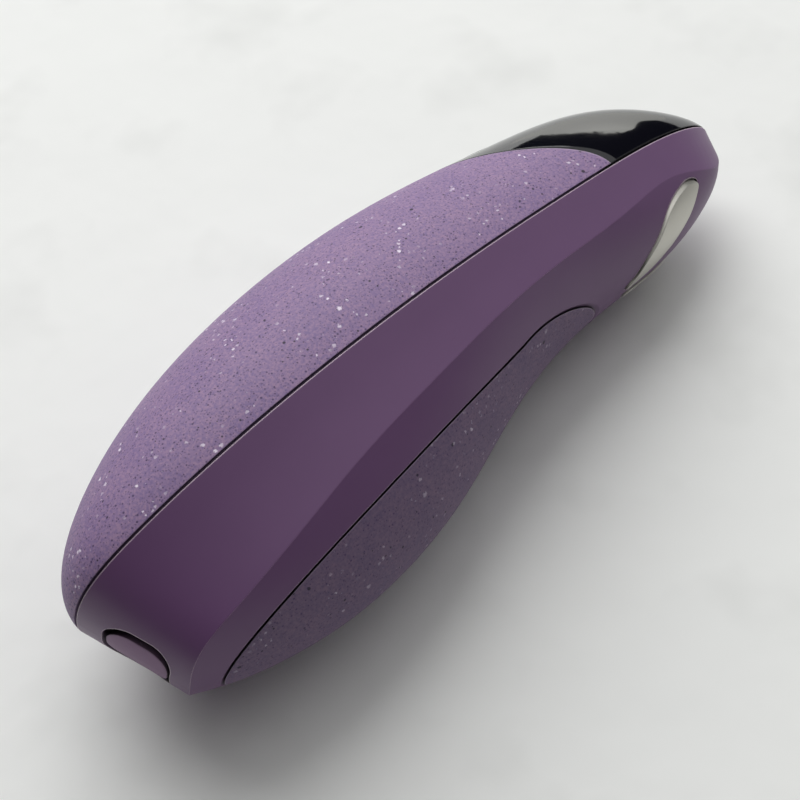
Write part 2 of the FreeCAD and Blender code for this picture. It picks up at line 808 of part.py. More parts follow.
BOSS_SIDE = "(Size.body_width / 2 - Size.chassis_screw_inset)"
SCREW_ROWS = (("near", "Size.chassis_screw_near"), ("far", "(Size.body_length - Size.chassis_screw_far)"))
SCREW_SIDES = (("left", f"-{BOSS_SIDE}"), ("right", BOSS_SIDE))
CHASSIS_SCREWS = [(f"{place}_{hand}", x, y) for place, x in SCREW_ROWS for hand, y in SCREW_SIDES]
chassis_bosses = []
chassis_pilots = []
chassis_screw_list = []
for tag, x, y in CHASSIS_SCREWS:
    boss_low = (x, y, f"-{SEAT} - Size.chassis_boss_depth")
    boss_size = ("Size.chassis_boss_radius", "Size.chassis_boss_depth")
    blank = cylinder(f"chassis_boss_{tag}", boss_low, *boss_size)
    chassis_bosses.append(common(f"chassis_boss_in_{tag}", blank, hull_skin))
    shank_low = (x, y, f"-{CHASSIS_TOP} - Size.chassis_screw_length")
    shank_size = ("Size.screw_radius", "Size.chassis_screw_length")
    chassis_pilots.append(cylinder(f"chassis_pilot_{tag}", shank_low, *shank_size))
    shank = cylinder(f"chassis_shank_{tag}", shank_low, *shank_size)
    head_size = ("Size.screw_head_radius", "Size.screw_head_height")
    head = cylinder(f"chassis_head_{tag}", (x, y, f"-{CHASSIS_TOP}"), *head_size)
    chassis_screw_list.append(fuse(f"chassis_screw_{tag}", shank, head))
chassis_screws = group("chassis_screws", chassis_screw_list)

front_pocket = cut("front_pocket", held("front_reach", front_seam_prism(size("seam_gap"))), hull_skin)
front_opening = held("front_opening", front_seam_prism(-size("front_seat")))
front_blank = common("front_blank", hull_outside, held("front_side", front_seam_prism(0.0)))
front_shell = cut("front_shell", front_blank, hull_skin)

# Electrodes: plates set into the nose, each with a post that a push nut holds from inside

electrodes = {}
electrode_pockets = []
electrode_bosses = []
post_holes = []
nuts = []
leads = {}


def lead_path(x, y, top):
    """Route of an electrode's lead from its post to the board, as points to be rounded."""
    board_end = size("body_length") - size("board_from_tip")
    board_top = -(seat - size("chassis_thick") - size("standoff_height") - size("board_thick"))
    rise = top + size("lead_rise")
    return [
        Vector(x, y, top),
        Vector(x, y, rise),
        Vector(x - size("lead_back"), y, rise + size("lead_lift")),
        Vector(board_end - size("board_hole_inset"), y, board_top + size("lead_radius")),
    ]


def rounded_wire(points):
    """Straight runs joined by tangent arcs as large as the runs allow."""
    edges = []
    start = points[0]
    for before, corner, after in zip(points, points[1:], points[2:]):
        back, ahead = before - corner, after - corner
        half_turn = (math.pi - back.getAngle(ahead)) / 2
        reach = 0.45 * min(back.Length, ahead.Length)
        radius = reach / math.tan(half_turn)
        enter = corner + Vector(back).normalize() * reach
        leave = corner + Vector(ahead).normalize() * reach
        inward = (Vector(back).normalize() + Vector(ahead).normalize()).normalize()
        middle = corner + inward * (radius / math.cos(half_turn) - radius)
        edges.append(Part.LineSegment(start, enter).toShape())
        edges.append(Part.Arc(enter, middle, leave).toShape())
        start = leave
        print(f"lead bend radius {radius:.1f} mm")
    edges.append(Part.LineSegment(start, points[-1]).toShape())
    return Part.Wire(edges)


wall_shape = hull_outside.Shape.cut(hull_inside.Shape)


def wall_top(spot, radius):
    """Highest level of the frame's wall under a disc on the front of the head."""
    column = Part.makeCylinder(radius, FAR / 2, Vector(spot.x, spot.y, -FAR / 2))
    return wall_shape.common(column).optimalBoundingBox(False, False).ZMax


def round_tube(path, radius):
    start = path.Vertexes[0].Point
    section = Part.Wire(Part.makeCircle(radius, start, Vector(0, 0, 1)))
    return path.makePipeShell([section], True, False)


for hand, side in (("left", -1), ("right", 1)):
    drop = held(f"drop_{hand}", electrode_prism(side, 0.0))
    plate = cut(f"plate_{hand}", common(f"plate_blank_{hand}", hull_proud, drop), hull_skin)
    spot = electrode_point(size("post_share_along"), size("post_share_across"), side)
    nut_level = wall_top(spot, size("nut_radius")) + size("nut_clear")
    place = (f"{spot.x}", f"{spot.y}", "-2 * Size.belly_depth")
    boss_run = f"2 * Size.belly_depth + ({nut_level})"
    post_run = f"{boss_run} + Size.post_length"
    post_bar = cylinder(f"post_bar_{hand}", place, "Size.post_radius", post_run)
    post = common(f"post_{hand}", post_bar, hull_outside)
    electrodes[hand] = fuse(f"electrode_{hand}", plate, post)
    room = held(f"drop_room_{hand}", electrode_prism(side, size("electrode_gap")))
    electrode_pockets.append(cut(f"electrode_pocket_{hand}", room, hull_skin))
    boss_bar = cylinder(f"boss_bar_{hand}", place, "Size.boss_radius", boss_run)
    electrode_bosses.append(common(f"electrode_boss_{hand}", boss_bar, hull_skin))
    post_holes.append(cylinder(f"post_hole_{hand}", place, "Size.post_radius", post_run))
    nut_place = (f"{spot.x}", f"{spot.y}", f"{nut_level}")
    nut_blank = cylinder(f"nut_blank_{hand}", nut_place, "Size.nut_radius", "Size.nut_thick")
    nut_bore = cylinder(f"nut_bore_{hand}", nut_place, "Size.post_radius", "Size.nut_thick")
    nuts.append(cut(f"nut_{hand}", nut_blank, nut_bore))
    path = rounded_wire(lead_path(spot.x, spot.y, nut_level + size("post_length")))
    leads[hand] = held(f"electrode_lead_{hand}", round_tube(path, size("lead_radius")))
electrode_nuts = group("electrode_nuts", nuts)

frame_blank = cut("frame_blank", hull_outside, hull_inside)
frame_solid = fuse("frame_solid", frame_blank, ledge, *chassis_bosses, *electrode_bosses)
frame = cut(
    "frame",
    frame_solid,
    front_pocket,
    front_opening,
    *electrode_pockets,
    *post_holes,
    recess,
    port_slot,
    *chassis_pilots,
)

# Chassis, resting on the frame's ledge

chassis_slab = box(
    "chassis_slab", ("0", "-Size.body_width", f"-{SEAT}"), (CHASSIS_END, WIDE, "Size.chassis_thick")
)
chassis_plate = common("chassis_plate", hull_fit, chassis_slab)
HOLE_ROWS = (("near", "Size.board_hole_inset"), ("far", f"({BOARD_LENGTH} - Size.board_hole_inset)"))
HOLE_SIDES = (("left", "Size.board_hole_inset"), ("right", "(Size.board_width - Size.board_hole_inset)"))
BOARD_HOLES = [(f"{place}_{hand}", x, y) for place, x in HOLE_ROWS for hand, y in HOLE_SIDES]
standoffs = []
board_pilots = []
board_screw_list = []
for tag, x, y in BOARD_HOLES:
    spot_x = f"Size.board_start + {x}"
    spot_y = f"{y} - Size.board_width / 2"
    foot = (spot_x, spot_y, f"-{CHASSIS_TOP} - Size.chassis_thick / 2")
    height = "Size.standoff_height + Size.chassis_thick / 2"
    standoffs.append(cylinder(f"standoff_{tag}", foot, "Size.standoff_radius", height))
    shank_low = (spot_x, spot_y, f"-{BOARD_TOP} - Size.board_screw_length")
    shank_size = ("Size.screw_radius", "Size.board_screw_length")
    board_pilots.append(cylinder(f"board_pilot_{tag}", shank_low, *shank_size))
    shank = cylinder(f"board_shank_{tag}", shank_low, *shank_size)
    head_size = ("Size.screw_head_radius", "Size.screw_head_height")
    head = cylinder(f"board_head_{tag}", (spot_x, spot_y, f"-{BOARD_TOP}"), *head_size)
    board_screw_list.append(fuse(f"board_screw_{tag}", shank, head))
board_screws = group("board_screws", board_screw_list)
chassis = cut("chassis", fuse("chassis_solid", chassis_plate, *standoffs), *chassis_pilots, *board_pilots)

main_board = board(
    "main_board",
    BOARD_LENGTH,
    "Size.board_width",
    "Size.board_thick",
    [(x, y) for tag, x, y in BOARD_HOLES],
)
bind_place(main_board, ("Size.board_start", "-Size.board_width / 2", f"-{BOARD_SEAT}"))

BOARD_FACE = f"-{BOARD_TOP}"
coil_place = ("Size.board_start + Size.coil_from_end", "0", BOARD_FACE)
boost_coil = cylinder("boost_coil", coil_place, "Size.coil_radius", "Size.coil_height")
controller_chip = box(
    "controller_chip",
    ("Size.board_start + Size.chip_from_end", "-Size.chip_width / 2", BOARD_FACE),
    ("Size.chip_width", "Size.chip_width", "Size.chip_height"),
)
cans = []
for hand, sign in (("left", "-"), ("right", "")):
    side = f"{sign}(Size.capacitor_radius + Size.fit)"
    place = (f"{BOARD_END} - Size.capacitors_inset", side, BOARD_FACE)
    cans.append(cylinder(f"capacitor_{hand}", place, "Size.capacitor_radius", "Size.capacitor_height"))
capacitors = group("capacitors", cans)
battery_plug = box(
    "battery_plug",
    ("Size.board_start + Size.fit", "-Size.battery_plug_width / 2", BOARD_FACE),
    ("Size.battery_plug_length", "Size.battery_plug_width", "Size.battery_plug_height"),
)

# Battery under the chassis, held by foam tape

battery_tape = box(
    "battery_tape",
    ("Size.battery_start", "-Size.battery_width / 2", f"-{SEAT} - Size.tape_thick"),
    ("Size.battery_length", "Size.battery_width", "Size.tape_thick"),
)
battery_cell = board("battery_cell", "Size.battery_length", "Size.battery_width", "Size.battery_thick", [])
pad = doc.getObject("battery_cell_pad")
rounding = battery_cell.newObject("PartDesign::Fillet", "battery_cell_rounding")
long_edges = [
    f"Edge{number}"
    for number, edge in enumerate(pad.Shape.Edges, start=1)
    if abs(edge.Length - size("battery_length")) < size("fit")
]
rounding.Base = (pad, long_edges)
rounding.setExpression("Radius", "Size.battery_round")
battery_cell.Tip = rounding
bind_place(
    battery_cell,
    ("Size.battery_start", "-Size.battery_width / 2", f"-{SEAT} - Size.tape_thick - Size.battery_thick"),
)

# The pieces of the device, each with its own file

PIECES = [
    frame,
    back_shell,
    front_shell,
    control_panel,
    keys["power"],
    keys["mode"],
    plungers["power"],
    plungers["mode"],
    key_switches,
    key_board,
    key_board_screws,
    indicator_leds,
    electrodes["left"],
    electrodes["right"],
    electrode_nuts,
    leads["left"],
    leads["right"],
    chassis,
    chassis_screws,
    main_board,
    board_screws,
    boost_coil,
    controller_chip,
    capacitors,
    battery_plug,
    battery_cell,
    battery_tape,
    charge_board,
    charge_socket,
    socket_tongue,
    port_cover,
]
doc.recompute()

# Lay the device on its right flank, with the middle of its footprint at the origin

turn = Rotation(Vector(0, 1, 0), size("rest_pitch")).multiply(Rotation(Vector(1, 0, 0), size("rest_roll")))
laid = Placement(Vector(), turn)
CASING = [frame, back_shell, front_shell, control_panel, *electrodes.values()]
reach = FreeCAD.BoundBox()
for piece in CASING:
    solid = piece.Shape.copy()
    solid.Placement = laid.multiply(solid.Placement)
    reach.add(solid.optimalBoundingBox(False, False))
laid.Base = Vector(-reach.Center.x, -reach.Center.y, -reach.ZMin)
for piece in PIECES:
    for expression in ("x", "y", "z"):
        piece.setExpression(f"Placement.Base.{expression}", None)
    piece.Placement = laid.multiply(piece.Placement)
    piece.Label = piece.Name

press = laid.Rotation.multVec(PANEL.Rotation.multVec(Vector(0, 0, -1)))
pull = laid.Rotation.multVec(Vector(-1, 0, 0))
mouth_x = size("end_taper") * size("port_level") / size("flank_depth")
mouth = laid.multVec(Vector(mouth_x + size("recess_depth") + size("socket_inset"), 0, -size("port_level")))
print(f"The keys press along {tuple(press)} by {size('key_travel')} mm")
print(f"The cover pulls along {tuple(pull)} by {2 * size('plug_length')} mm from a mouth at {tuple(mouth)}")
print(f"The device is laid by {tuple(laid.Base)}")

# Check every object, then write one file for each piece

for obj in doc.Objects:
    if {"Invalid", "Error"} & set(obj.State):
        raise RuntimeError(f"{obj.Name} did not compute: {obj.State}")
for piece in PIECES:
    if piece.Shape.isNull() or not piece.Shape.isValid() or piece.Shape.Volume <= 0:
        raise RuntimeError(f"{piece.Label} has no sound shape")

os.makedirs("parts", exist_ok=True)
for piece in PIECES:
    piece.Shape.exportStep(f"parts/{piece.Label}.step")
    print(f"{piece.Label}: {len(piece.Shape.Solids)} solids, {piece.Shape.Volume:.1f} mm3")
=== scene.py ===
# %% [markdown]
# # Dressing a hand-held eye care device
# The solids of the device come in as a fixed frame, in metres. This lesson gives them their finishes, adds
# the small marks on the keys, and sets up the floor, the light and the camera. Each step first says what
# the real piece looks like.

# %% Load the frame
import bpy
import json
import math
from mathutils import Matrix, Vector


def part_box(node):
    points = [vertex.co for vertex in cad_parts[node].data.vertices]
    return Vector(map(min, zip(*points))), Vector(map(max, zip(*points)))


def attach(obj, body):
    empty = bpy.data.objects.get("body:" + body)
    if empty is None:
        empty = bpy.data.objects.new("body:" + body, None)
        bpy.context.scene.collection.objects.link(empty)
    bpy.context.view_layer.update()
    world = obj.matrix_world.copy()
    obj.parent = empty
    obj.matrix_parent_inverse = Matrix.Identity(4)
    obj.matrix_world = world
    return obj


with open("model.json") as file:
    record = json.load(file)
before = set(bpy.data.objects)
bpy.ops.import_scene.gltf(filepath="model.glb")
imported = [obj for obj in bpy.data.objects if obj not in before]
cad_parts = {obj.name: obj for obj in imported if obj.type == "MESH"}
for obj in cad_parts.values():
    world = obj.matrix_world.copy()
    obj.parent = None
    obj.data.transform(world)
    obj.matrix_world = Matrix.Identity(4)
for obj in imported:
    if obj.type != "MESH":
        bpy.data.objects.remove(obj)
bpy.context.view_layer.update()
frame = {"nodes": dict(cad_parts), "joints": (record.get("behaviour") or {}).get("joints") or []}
nodes = frame["nodes"]

# %% [markdown]
# ## Camera
# The device lies on its side, and the camera looks down on it from the front of its left flank, a little
# tilted, so the head points to the upper right. A camera can be aimed at a target, but then its tilt is
# fixed, so its right and up directions are given, and the third follows from them. The lens comes from the
# focal length in pixels of the square picture.

# %% Camera
CAMERA_PLACE = Vector((-0.080058, -0.094846, 0.190483))
CAMERA_RIGHT = Vector((0.693432, -0.715098, -0.088243))
CAMERA_UP = Vector((0.633368, 0.546578, 0.547812))
CAMERA_NEAREST = 0.01
SENSOR_MM = 36.0
FOCAL_PIXELS = 1544.2
PICTURE_PIXELS = 800.0


def turn_to(right, up, out):
    """The turn that has these three directions as its columns."""
    return Matrix((right, up, out)).transposed().to_4x4()


camera_data = bpy.data.cameras.new("photo_camera")
camera_data.sensor_width = SENSOR_MM
camera_data.sensor_fit = "HORIZONTAL"
camera_data.lens = SENSOR_MM * FOCAL_PIXELS / PICTURE_PIXELS
camera_data.clip_start = CAMERA_NEAREST
camera = bpy.data.objects.new("photo_camera", camera_data)
bpy.context.scene.collection.objects.link(camera)
camera_turn = turn_to(CAMERA_RIGHT, CAMERA_UP, CAMERA_RIGHT.cross(CAMERA_UP))
camera.matrix_world = Matrix.Translation(CAMERA_PLACE) @ camera_turn
bpy.context.scene.camera = camera
print("lens", round(camera_data.lens, 2), "mm")

# %% [markdown]
# ## Helpers for nodes
# A finish is a small graph of nodes, which could be wired by hand in the shader editor. In a script, a few
# helpers keep each graph short: one starts a material, one adds a node with its values set, and the others
# give the sums and mixes that come back in most finishes. The Mix node has sockets for every kind of data,
# so its colour sockets are found by number.

# %% Helpers for nodes
MIX_SHARE = 0
MIX_FIRST = 6
MIX_SECOND = 7
MIX_RESULT = 2


def start_finish(name):
    """A new material, its node tree and its Principled shader."""
    finish = bpy.data.materials.new(name)
    finish.use_nodes = True
    tree = finish.node_tree
    return finish, tree, tree.nodes["Principled BSDF"]


def add_node(tree, kind, links=(), **settings):
    """A node with its settings, and with (input, source) pairs linked or set as values."""
    node = tree.nodes.new(kind)
    for key, value in settings.items():
        setattr(node, key, value)
    for socket, source in links:
        if isinstance(source, bpy.types.NodeSocket):
            tree.links.new(source, node.inputs[socket])
        else:
            node.inputs[socket].default_value = source
    return node


def math_node(tree, operation, first, second, clamp=False):
    """The result socket of one sum."""
    links = ((0, first), (1, second))
    node = add_node(tree, "ShaderNodeMath", links, operation=operation, use_clamp=clamp)
    return node.outputs["Value"]


def vary(tree, noise, low, span):
    """A value that goes from low to low + span as a noise goes from 0 to 1."""
    links = ((0, noise), (1, span), (2, low))
    return add_node(tree, "ShaderNodeMath", links, operation="MULTIPLY_ADD").outputs["Value"]


def mix_colours(tree, share, first, second):
    """The colour between two colours, by a share from 0 to 1."""
    links = ((MIX_SHARE, share), (MIX_FIRST, first), (MIX_SECOND, second))
    return add_node(tree, "ShaderNodeMix", links, data_type="RGBA").outputs[MIX_RESULT]


# %% [markdown]
# ## Helpers for surfaces
# Every pattern here reads the point on the piece in metres, so its scale is a real one and it stays in place
# when the piece moves. A pattern that is too fine to model goes into the normal through a Bump node. The
# last two helpers link the results to a shader and put a finish on solids.

# %% Helpers for surfaces
def object_place(tree):
    """The point on the piece, in metres."""
    return tree.nodes.new("ShaderNodeTexCoord").outputs["Object"]


def bump(tree, height, distance, strength, normal=None):
    """The normal of a surface raised by a height, in metres for a height of 1."""
    links = [("Strength", strength), ("Distance", distance), ("Height", height)]
    if normal is not None:
        links.append(("Normal", normal))
    return add_node(tree, "ShaderNodeBump", links).outputs["Normal"]


def connect(tree, shader, colour, rough, normal):
    """Links a colour, a roughness and a normal to a shader."""
    tree.links.new(colour, shader.inputs["Base Color"])
    tree.links.new(rough, shader.inputs["Roughness"])
    tree.links.new(normal, shader.inputs["Normal"])


def wear(finish, *names):
    """Puts a finish on the solids named."""
    for name in names:
        mesh = nodes[name].data
        if mesh.materials:
            nodes[name].material_slots[0].material = finish
        else:
            mesh.materials.append(finish)
    print(finish.name, "on", ", ".join(names))


print("solids to dress:", ", ".join(sorted(nodes)))

# %% [markdown]
# ## Helpers for groups
# An effect that several finishes share could be built again in each. A node group is built once and placed
# in each finish with its own values, so a change to it reaches all of them. These groups put out masks,
# values and normals, never a finished shader.

# %% Helpers for groups
FLOAT = "NodeSocketFloat"
VECTOR = "NodeSocketVector"


def start_group(name, inputs, outputs):
    """A node group with named sockets, and its two end nodes."""
    group = bpy.data.node_groups.new(name, "ShaderNodeTree")
    for socket_name, kind, value in inputs:
        socket = group.interface.new_socket(name=socket_name, in_out="INPUT", socket_type=kind)
        if value is not None:
            socket.default_value = value
    for socket_name, kind in outputs:
        group.interface.new_socket(name=socket_name, in_out="OUTPUT", socket_type=kind)
    return group, group.nodes.new("NodeGroupInput"), group.nodes.new("NodeGroupOutput")


def place_group(tree, group, links):
    """The group placed in a material, with its inputs linked or set."""
    return add_node(tree, "ShaderNodeGroup", links, node_tree=group)


# %% [markdown]
# ## Shared effect: specks
# The two shells are moulded from a plastic with chips of other colours in it. Each chip that reaches the
# surface shows as a speck. A Voronoi texture scatters one point in each cell of a grid, and the group draws
# a dot round some of the points: Share says how many, and each dot has its own size up to Radius. Dots
# painted by hand would need a picture, and thousands of modelled chips would be far too heavy.

# %% Shared effect: specks
SMALLEST_CHIP = 0.35
SPECK_INPUTS = (
    ("Place", VECTOR, None),
    ("Cells", FLOAT, 1000.0),
    ("Radius", FLOAT, 0.2),
    ("Share", FLOAT, 0.5),
    ("Softness", FLOAT, 0.08),
)
specks, speck_in, speck_out = start_group("chip_specks", SPECK_INPUTS, (("Mask", FLOAT),))
cells = add_node(
    specks,
    "ShaderNodeTexVoronoi",
    (("Vector", speck_in.outputs["Place"]), ("Scale", speck_in.outputs["Cells"])),
    voronoi_dimensions="3D",
    feature="F1",
)
chance = add_node(specks, "ShaderNodeSeparateColor", (("Color", cells.outputs["Color"]),))
chosen = math_node(specks, "LESS_THAN", chance.outputs["Red"], speck_in.outputs["Share"])
chip_size = vary(specks, chance.outputs["Green"], SMALLEST_CHIP, 1.0 - SMALLEST_CHIP)
reach = math_node(specks, "MULTIPLY", speck_in.outputs["Radius"], chip_size)
inside = math_node(specks, "SUBTRACT", reach, cells.outputs["Distance"])
soft = math_node(specks, "DIVIDE", inside, speck_in.outputs["Softness"], clamp=True)
dots = math_node(specks, "MULTIPLY", soft, chosen)
specks.links.new(dots, speck_out.inputs["Mask"])
print("group", specks.name, "has", len(specks.nodes), "nodes")

# %% [markdown]
# ## Shared effect: grain and clouds
# Moulded plastic is never quite even. A fine grain from the mould's texture breaks up the highlight, and
# slow clouds shift its colour a little. Both are noise, so one group gives both, each at its own scale.

# %% Shared effect: grain and clouds
GRAIN_INPUTS = (
    ("Place", VECTOR, None),
    ("Grain scale", FLOAT, 6000.0),
    ("Cloud scale", FLOAT, 120.0),
)
GRAIN_DETAIL = (("Grain", "Grain scale", 2.0), ("Clouds", "Cloud scale", 3.0))
NOISE_ROUGH = 0.55
grain_outputs = [(label, FLOAT) for label, scale, detail in GRAIN_DETAIL]
grain, grain_in, grain_out = start_group("mould_grain", GRAIN_INPUTS, grain_outputs)
for label, scale, detail in GRAIN_DETAIL:
    noise = add_node(
        grain,
        "ShaderNodeTexNoise",
        (
            ("Vector", grain_in.outputs["Place"]),
            ("Scale", grain_in.outputs[scale]),
            ("Detail", detail),
            ("Roughness", NOISE_ROUGH),
        ),
    )
    grain.links.new(noise.outputs["Fac"], grain_out.inputs[label])
print("group", grain.name, "has", len(grain.nodes), "nodes")

# %% [markdown]
# ## Shared effect: rounded edges and painted rim highlight
# A moulded edge has a tiny radius, so it catches a thin pale line of light. The Bevel node gives the normal
# that a rounded edge would have. Where it differs from the true normal there is an edge, and the group puts
# out that mask with the rounded normal. Some finishes paint a pale highlight on the rims through this mask.
# Bevelling every solid would change its shape instead.

# %% Shared effect: rounded edges and painted rim highlight
EFFECT_SAMPLES = 6
EDGE_INPUTS = (("Radius", FLOAT, 0.0002), ("Gain", FLOAT, 4.0))
edges, edge_in, edge_out = start_group("edge_normal_and_highlight", EDGE_INPUTS, (("Mask", FLOAT), ("Normal", VECTOR)))
rounded = add_node(
    edges, "ShaderNodeBevel", (("Radius", edge_in.outputs["Radius"]),), samples=EFFECT_SAMPLES
)
true_normal = edges.nodes.new("ShaderNodeNewGeometry").outputs["Normal"]
both_normals = ((0, rounded.outputs["Normal"]), (1, true_normal))
agree = add_node(edges, "ShaderNodeVectorMath", both_normals, operation="DOT_PRODUCT")
differ = math_node(edges, "SUBTRACT", 1.0, agree.outputs["Value"])
edge_mask = math_node(edges, "MULTIPLY", differ, edge_in.outputs["Gain"], clamp=True)
edges.links.new(edge_mask, edge_out.inputs["Mask"])
edges.links.new(rounded.outputs["Normal"], edge_out.inputs["Normal"])
print("group", edges.name, "has", len(edges.nodes), "nodes")

# %% [markdown]
# ## Shared effect: painted crevice shade
# Little light reaches the bottom of a seam or a recess, so it reads as dark, and this shade is painted into
# the colour. The Ambient Occlusion node measures how open each point is within a short distance, and a power
# makes the painted shade fall off fast.

# %% Shared effect: painted crevice shade
CREVICE_INPUTS = (("Reach", FLOAT, 0.001), ("Depth", FLOAT, 1.5))
crevices, crevice_in, crevice_out = start_group("crevice_shade", CREVICE_INPUTS, (("Open", FLOAT),))
open_share = add_node(
    crevices,
    "ShaderNodeAmbientOcclusion",
    (("Distance", crevice_in.outputs["Reach"]),),
    samples=EFFECT_SAMPLES,
)
openness = math_node(crevices, "POWER", open_share.outputs["AO"], crevice_in.outputs["Depth"])
crevices.links.new(openness, crevice_out.inputs["Open"])
print("group", crevices.name, "has", len(crevices.nodes), "nodes")

# %% [markdown]
# ## Finish: satin purple
# The band round the device is smooth satin plastic in a dark, slightly red purple. Its sharp rims catch the
# light as thin pale lines, painted here as a highlight, its crease does not, and the recess of the charging
# socket gets painted shade inside. The edge mask gives the painted rim highlight: it counts only above the
# value that the soft crease reaches, and only where the place is open. Painting the rims by hand would need
# a picture.

# %% Finish: satin purple
BAND_DARK = (0.134, 0.061, 0.157, 1.0)
BAND_LIGHT = (0.154, 0.072, 0.178, 1.0)
# Painted highlight: the pale colour painted on open rims.
BAND_RIM_HIGHLIGHT = (0.720, 0.580, 0.680, 1.0)
# Painted shade: the colour that crevices, seams and recesses are darkened towards.
PAINTED_SHADE_BLACK = (0.016, 0.009, 0.014, 1.0)
BAND_ROUGH = 0.42
RIM_GAIN = 3.0
SOFT_CREASE = 0.35
SATIN_MOULD = (("Grain scale", 9000.0), ("Cloud scale", 90.0))
SATIN_EDGES = (("Radius", 0.0003), ("Gain", 6.0))
SATIN_SHADE = (("Reach", 0.003), ("Depth", 2.4))
SATIN_ROUGH_SPAN = 0.12
SATIN_GRAIN_DEPTH = 0.000004
SATIN_GRAIN_STRENGTH = 0.6


def satin_plastic(name, dark, light, highlight_colour, rough):
    """A smooth satin plastic with slow clouds, a fine grain, painted crevice shade and painted rim
    highlights.
    """
    finish, tree, shader = start_finish(name)
    place = object_place(tree)
    mould = place_group(tree, grain, (("Place", place), *SATIN_MOULD))
    rim_normal_and_highlight = place_group(tree, edges, SATIN_EDGES)
    shade = place_group(tree, crevices, SATIN_SHADE)
    colour = mix_colours(tree, mould.outputs["Clouds"], dark, light)
    # Painted shade: darker where the place is closed in.
    colour = mix_colours(tree, shade.outputs["Open"], PAINTED_SHADE_BLACK, colour)
    # Painted highlight: pale rims, only where the place is open.
    outer = math_node(tree, "MULTIPLY", shade.outputs["Open"], RIM_GAIN, clamp=True)
    sharp_range = (("Value", rim_normal_and_highlight.outputs["Mask"]), ("From Min", SOFT_CREASE))
    sharp = add_node(tree, "ShaderNodeMapRange", sharp_range)
    rim_highlight = math_node(tree, "MULTIPLY", sharp.outputs["Result"], outer)
    colour = mix_colours(tree, rim_highlight, colour, highlight_colour)
    uneven = vary(tree, mould.outputs["Grain"], rough - SATIN_ROUGH_SPAN / 2, SATIN_ROUGH_SPAN)
    raised = bump(
        tree, mould.outputs["Grain"], SATIN_GRAIN_DEPTH, SATIN_GRAIN_STRENGTH, rim_normal_and_highlight.outputs["Normal"]
    )
    connect(tree, shader, colour, uneven, raised)
    return finish


satin_purple = satin_plastic("satin_purple", BAND_DARK, BAND_LIGHT, BAND_RIM_HIGHLIGHT, BAND_ROUGH)
wear(satin_purple, "frame")

# %% [markdown]
# ## Speckled purple: the mottled body
# The back shell is a lighter matt purple, mottled pink and blue, and the belly insert is the same plastic
# in a darker shade. A single colour would look painted. The grain of the mould, shifted a little by slow
# clouds, chooses between the two colours instead.

# %% Speckled purple: the mottled body
SHELL_PINK = (0.338, 0.220, 0.356, 1.0)
SHELL_BLUE = (0.206, 0.140, 0.296, 1.0)
BELLY_PINK = (0.200, 0.130, 0.208, 1.0)
BELLY_BLUE = (0.130, 0.090, 0.176, 1.0)
CLOUD_SHIFT = 0.3
MOTTLE_FROM = 0.45
MOTTLE_TO = 0.85


def mottled_body(tree, mould, blue, pink):
    """The colour of the plastic between its chips."""
    slow = math_node(tree, "MULTIPLY", mould.outputs["Clouds"], CLOUD_SHIFT)
    mottle = math_node(tree, "ADD", mould.outputs["Grain"], slow)
    mottle_range = (("Value", mottle), ("From Min", MOTTLE_FROM), ("From Max", MOTTLE_TO))
    spread = add_node(tree, "ShaderNodeMapRange", mottle_range)
    return mix_colours(tree, spread.outputs["Result"], blue, pink)


print("back shell from", SHELL_BLUE[:3], "to", SHELL_PINK[:3])

# %% [markdown]
# ## Speckled purple: the dark chips
# The plastic is full of dark chips: very many fine blue-violet ones, some larger near-black ones, and a few
# that are larger still. One speck group for each kind is laid over the body. Each row gives the kind's name
# and colour, its cells in a metre, the radius of its dots in cells, the share of cells that have one, the
# softness of its outline and how much of the body it hides.

# %% Speckled purple: the dark chips
CHIP_VIOLET = (0.062, 0.036, 0.110, 1.0)
CHIP_BLACK = (0.018, 0.012, 0.030, 1.0)
CHIP_LAYERS = (
    ("fine violet", CHIP_VIOLET, 3100.0, 0.48, 0.85, 0.16, 0.50),
    ("violet", CHIP_VIOLET, 1850.0, 0.33, 0.80, 0.08, 0.80),
    ("black", CHIP_BLACK, 900.0, 0.18, 0.40, 0.04, 0.85),
    ("large black", CHIP_BLACK, 600.0, 0.21, 0.16, 0.05, 0.90),
)


def speck_layer(tree, place, count, radius, share, softness):
    """The mask of one kind of chip."""
    kind = (("Cells", count), ("Radius", radius), ("Share", share), ("Softness", softness))
    return place_group(tree, specks, (("Place", place), *kind))


def with_dark_chips(tree, place, colour):
    """A colour with the dark chips laid over it."""
    for label, chip, count, radius, share, softness, weight in CHIP_LAYERS:
        layer = speck_layer(tree, place, count, radius, share, softness)
        layer.label = label
        covered = math_node(tree, "MULTIPLY", layer.outputs["Mask"], weight)
        colour = mix_colours(tree, covered, colour, chip)
    return colour


print("kinds of dark chip:", len(CHIP_LAYERS))

# %% [markdown]
# ## Speckled purple: the pale flecks
# Pale flecks often sit in small clusters, and their outlines are ragged. Plain dots would look too regular,
# so slow noise gathers them, and fine noise shifts the place that they read. Each row of sizes gives the
# cells in a metre, the radius in cells and the share of cells that have a fleck.

# %% Speckled purple: the pale flecks
CHIP_PALE = (0.800, 0.720, 0.840, 1.0)
FLECK_SIZES = ((1150.0, 0.36, 0.50), (540.0, 0.25, 0.22))
FLECK_SOFTNESS = 0.10
FLECK_SHIFT = (0.0005, 0.0005, 0.0005)
FLECK_NOISE_DETAIL = 1.0
SHIFT_SCALE = 3400.0
CLUSTER_SCALE = 230.0
CLUSTER_FROM = 0.46
CLUSTER_TO = 0.66


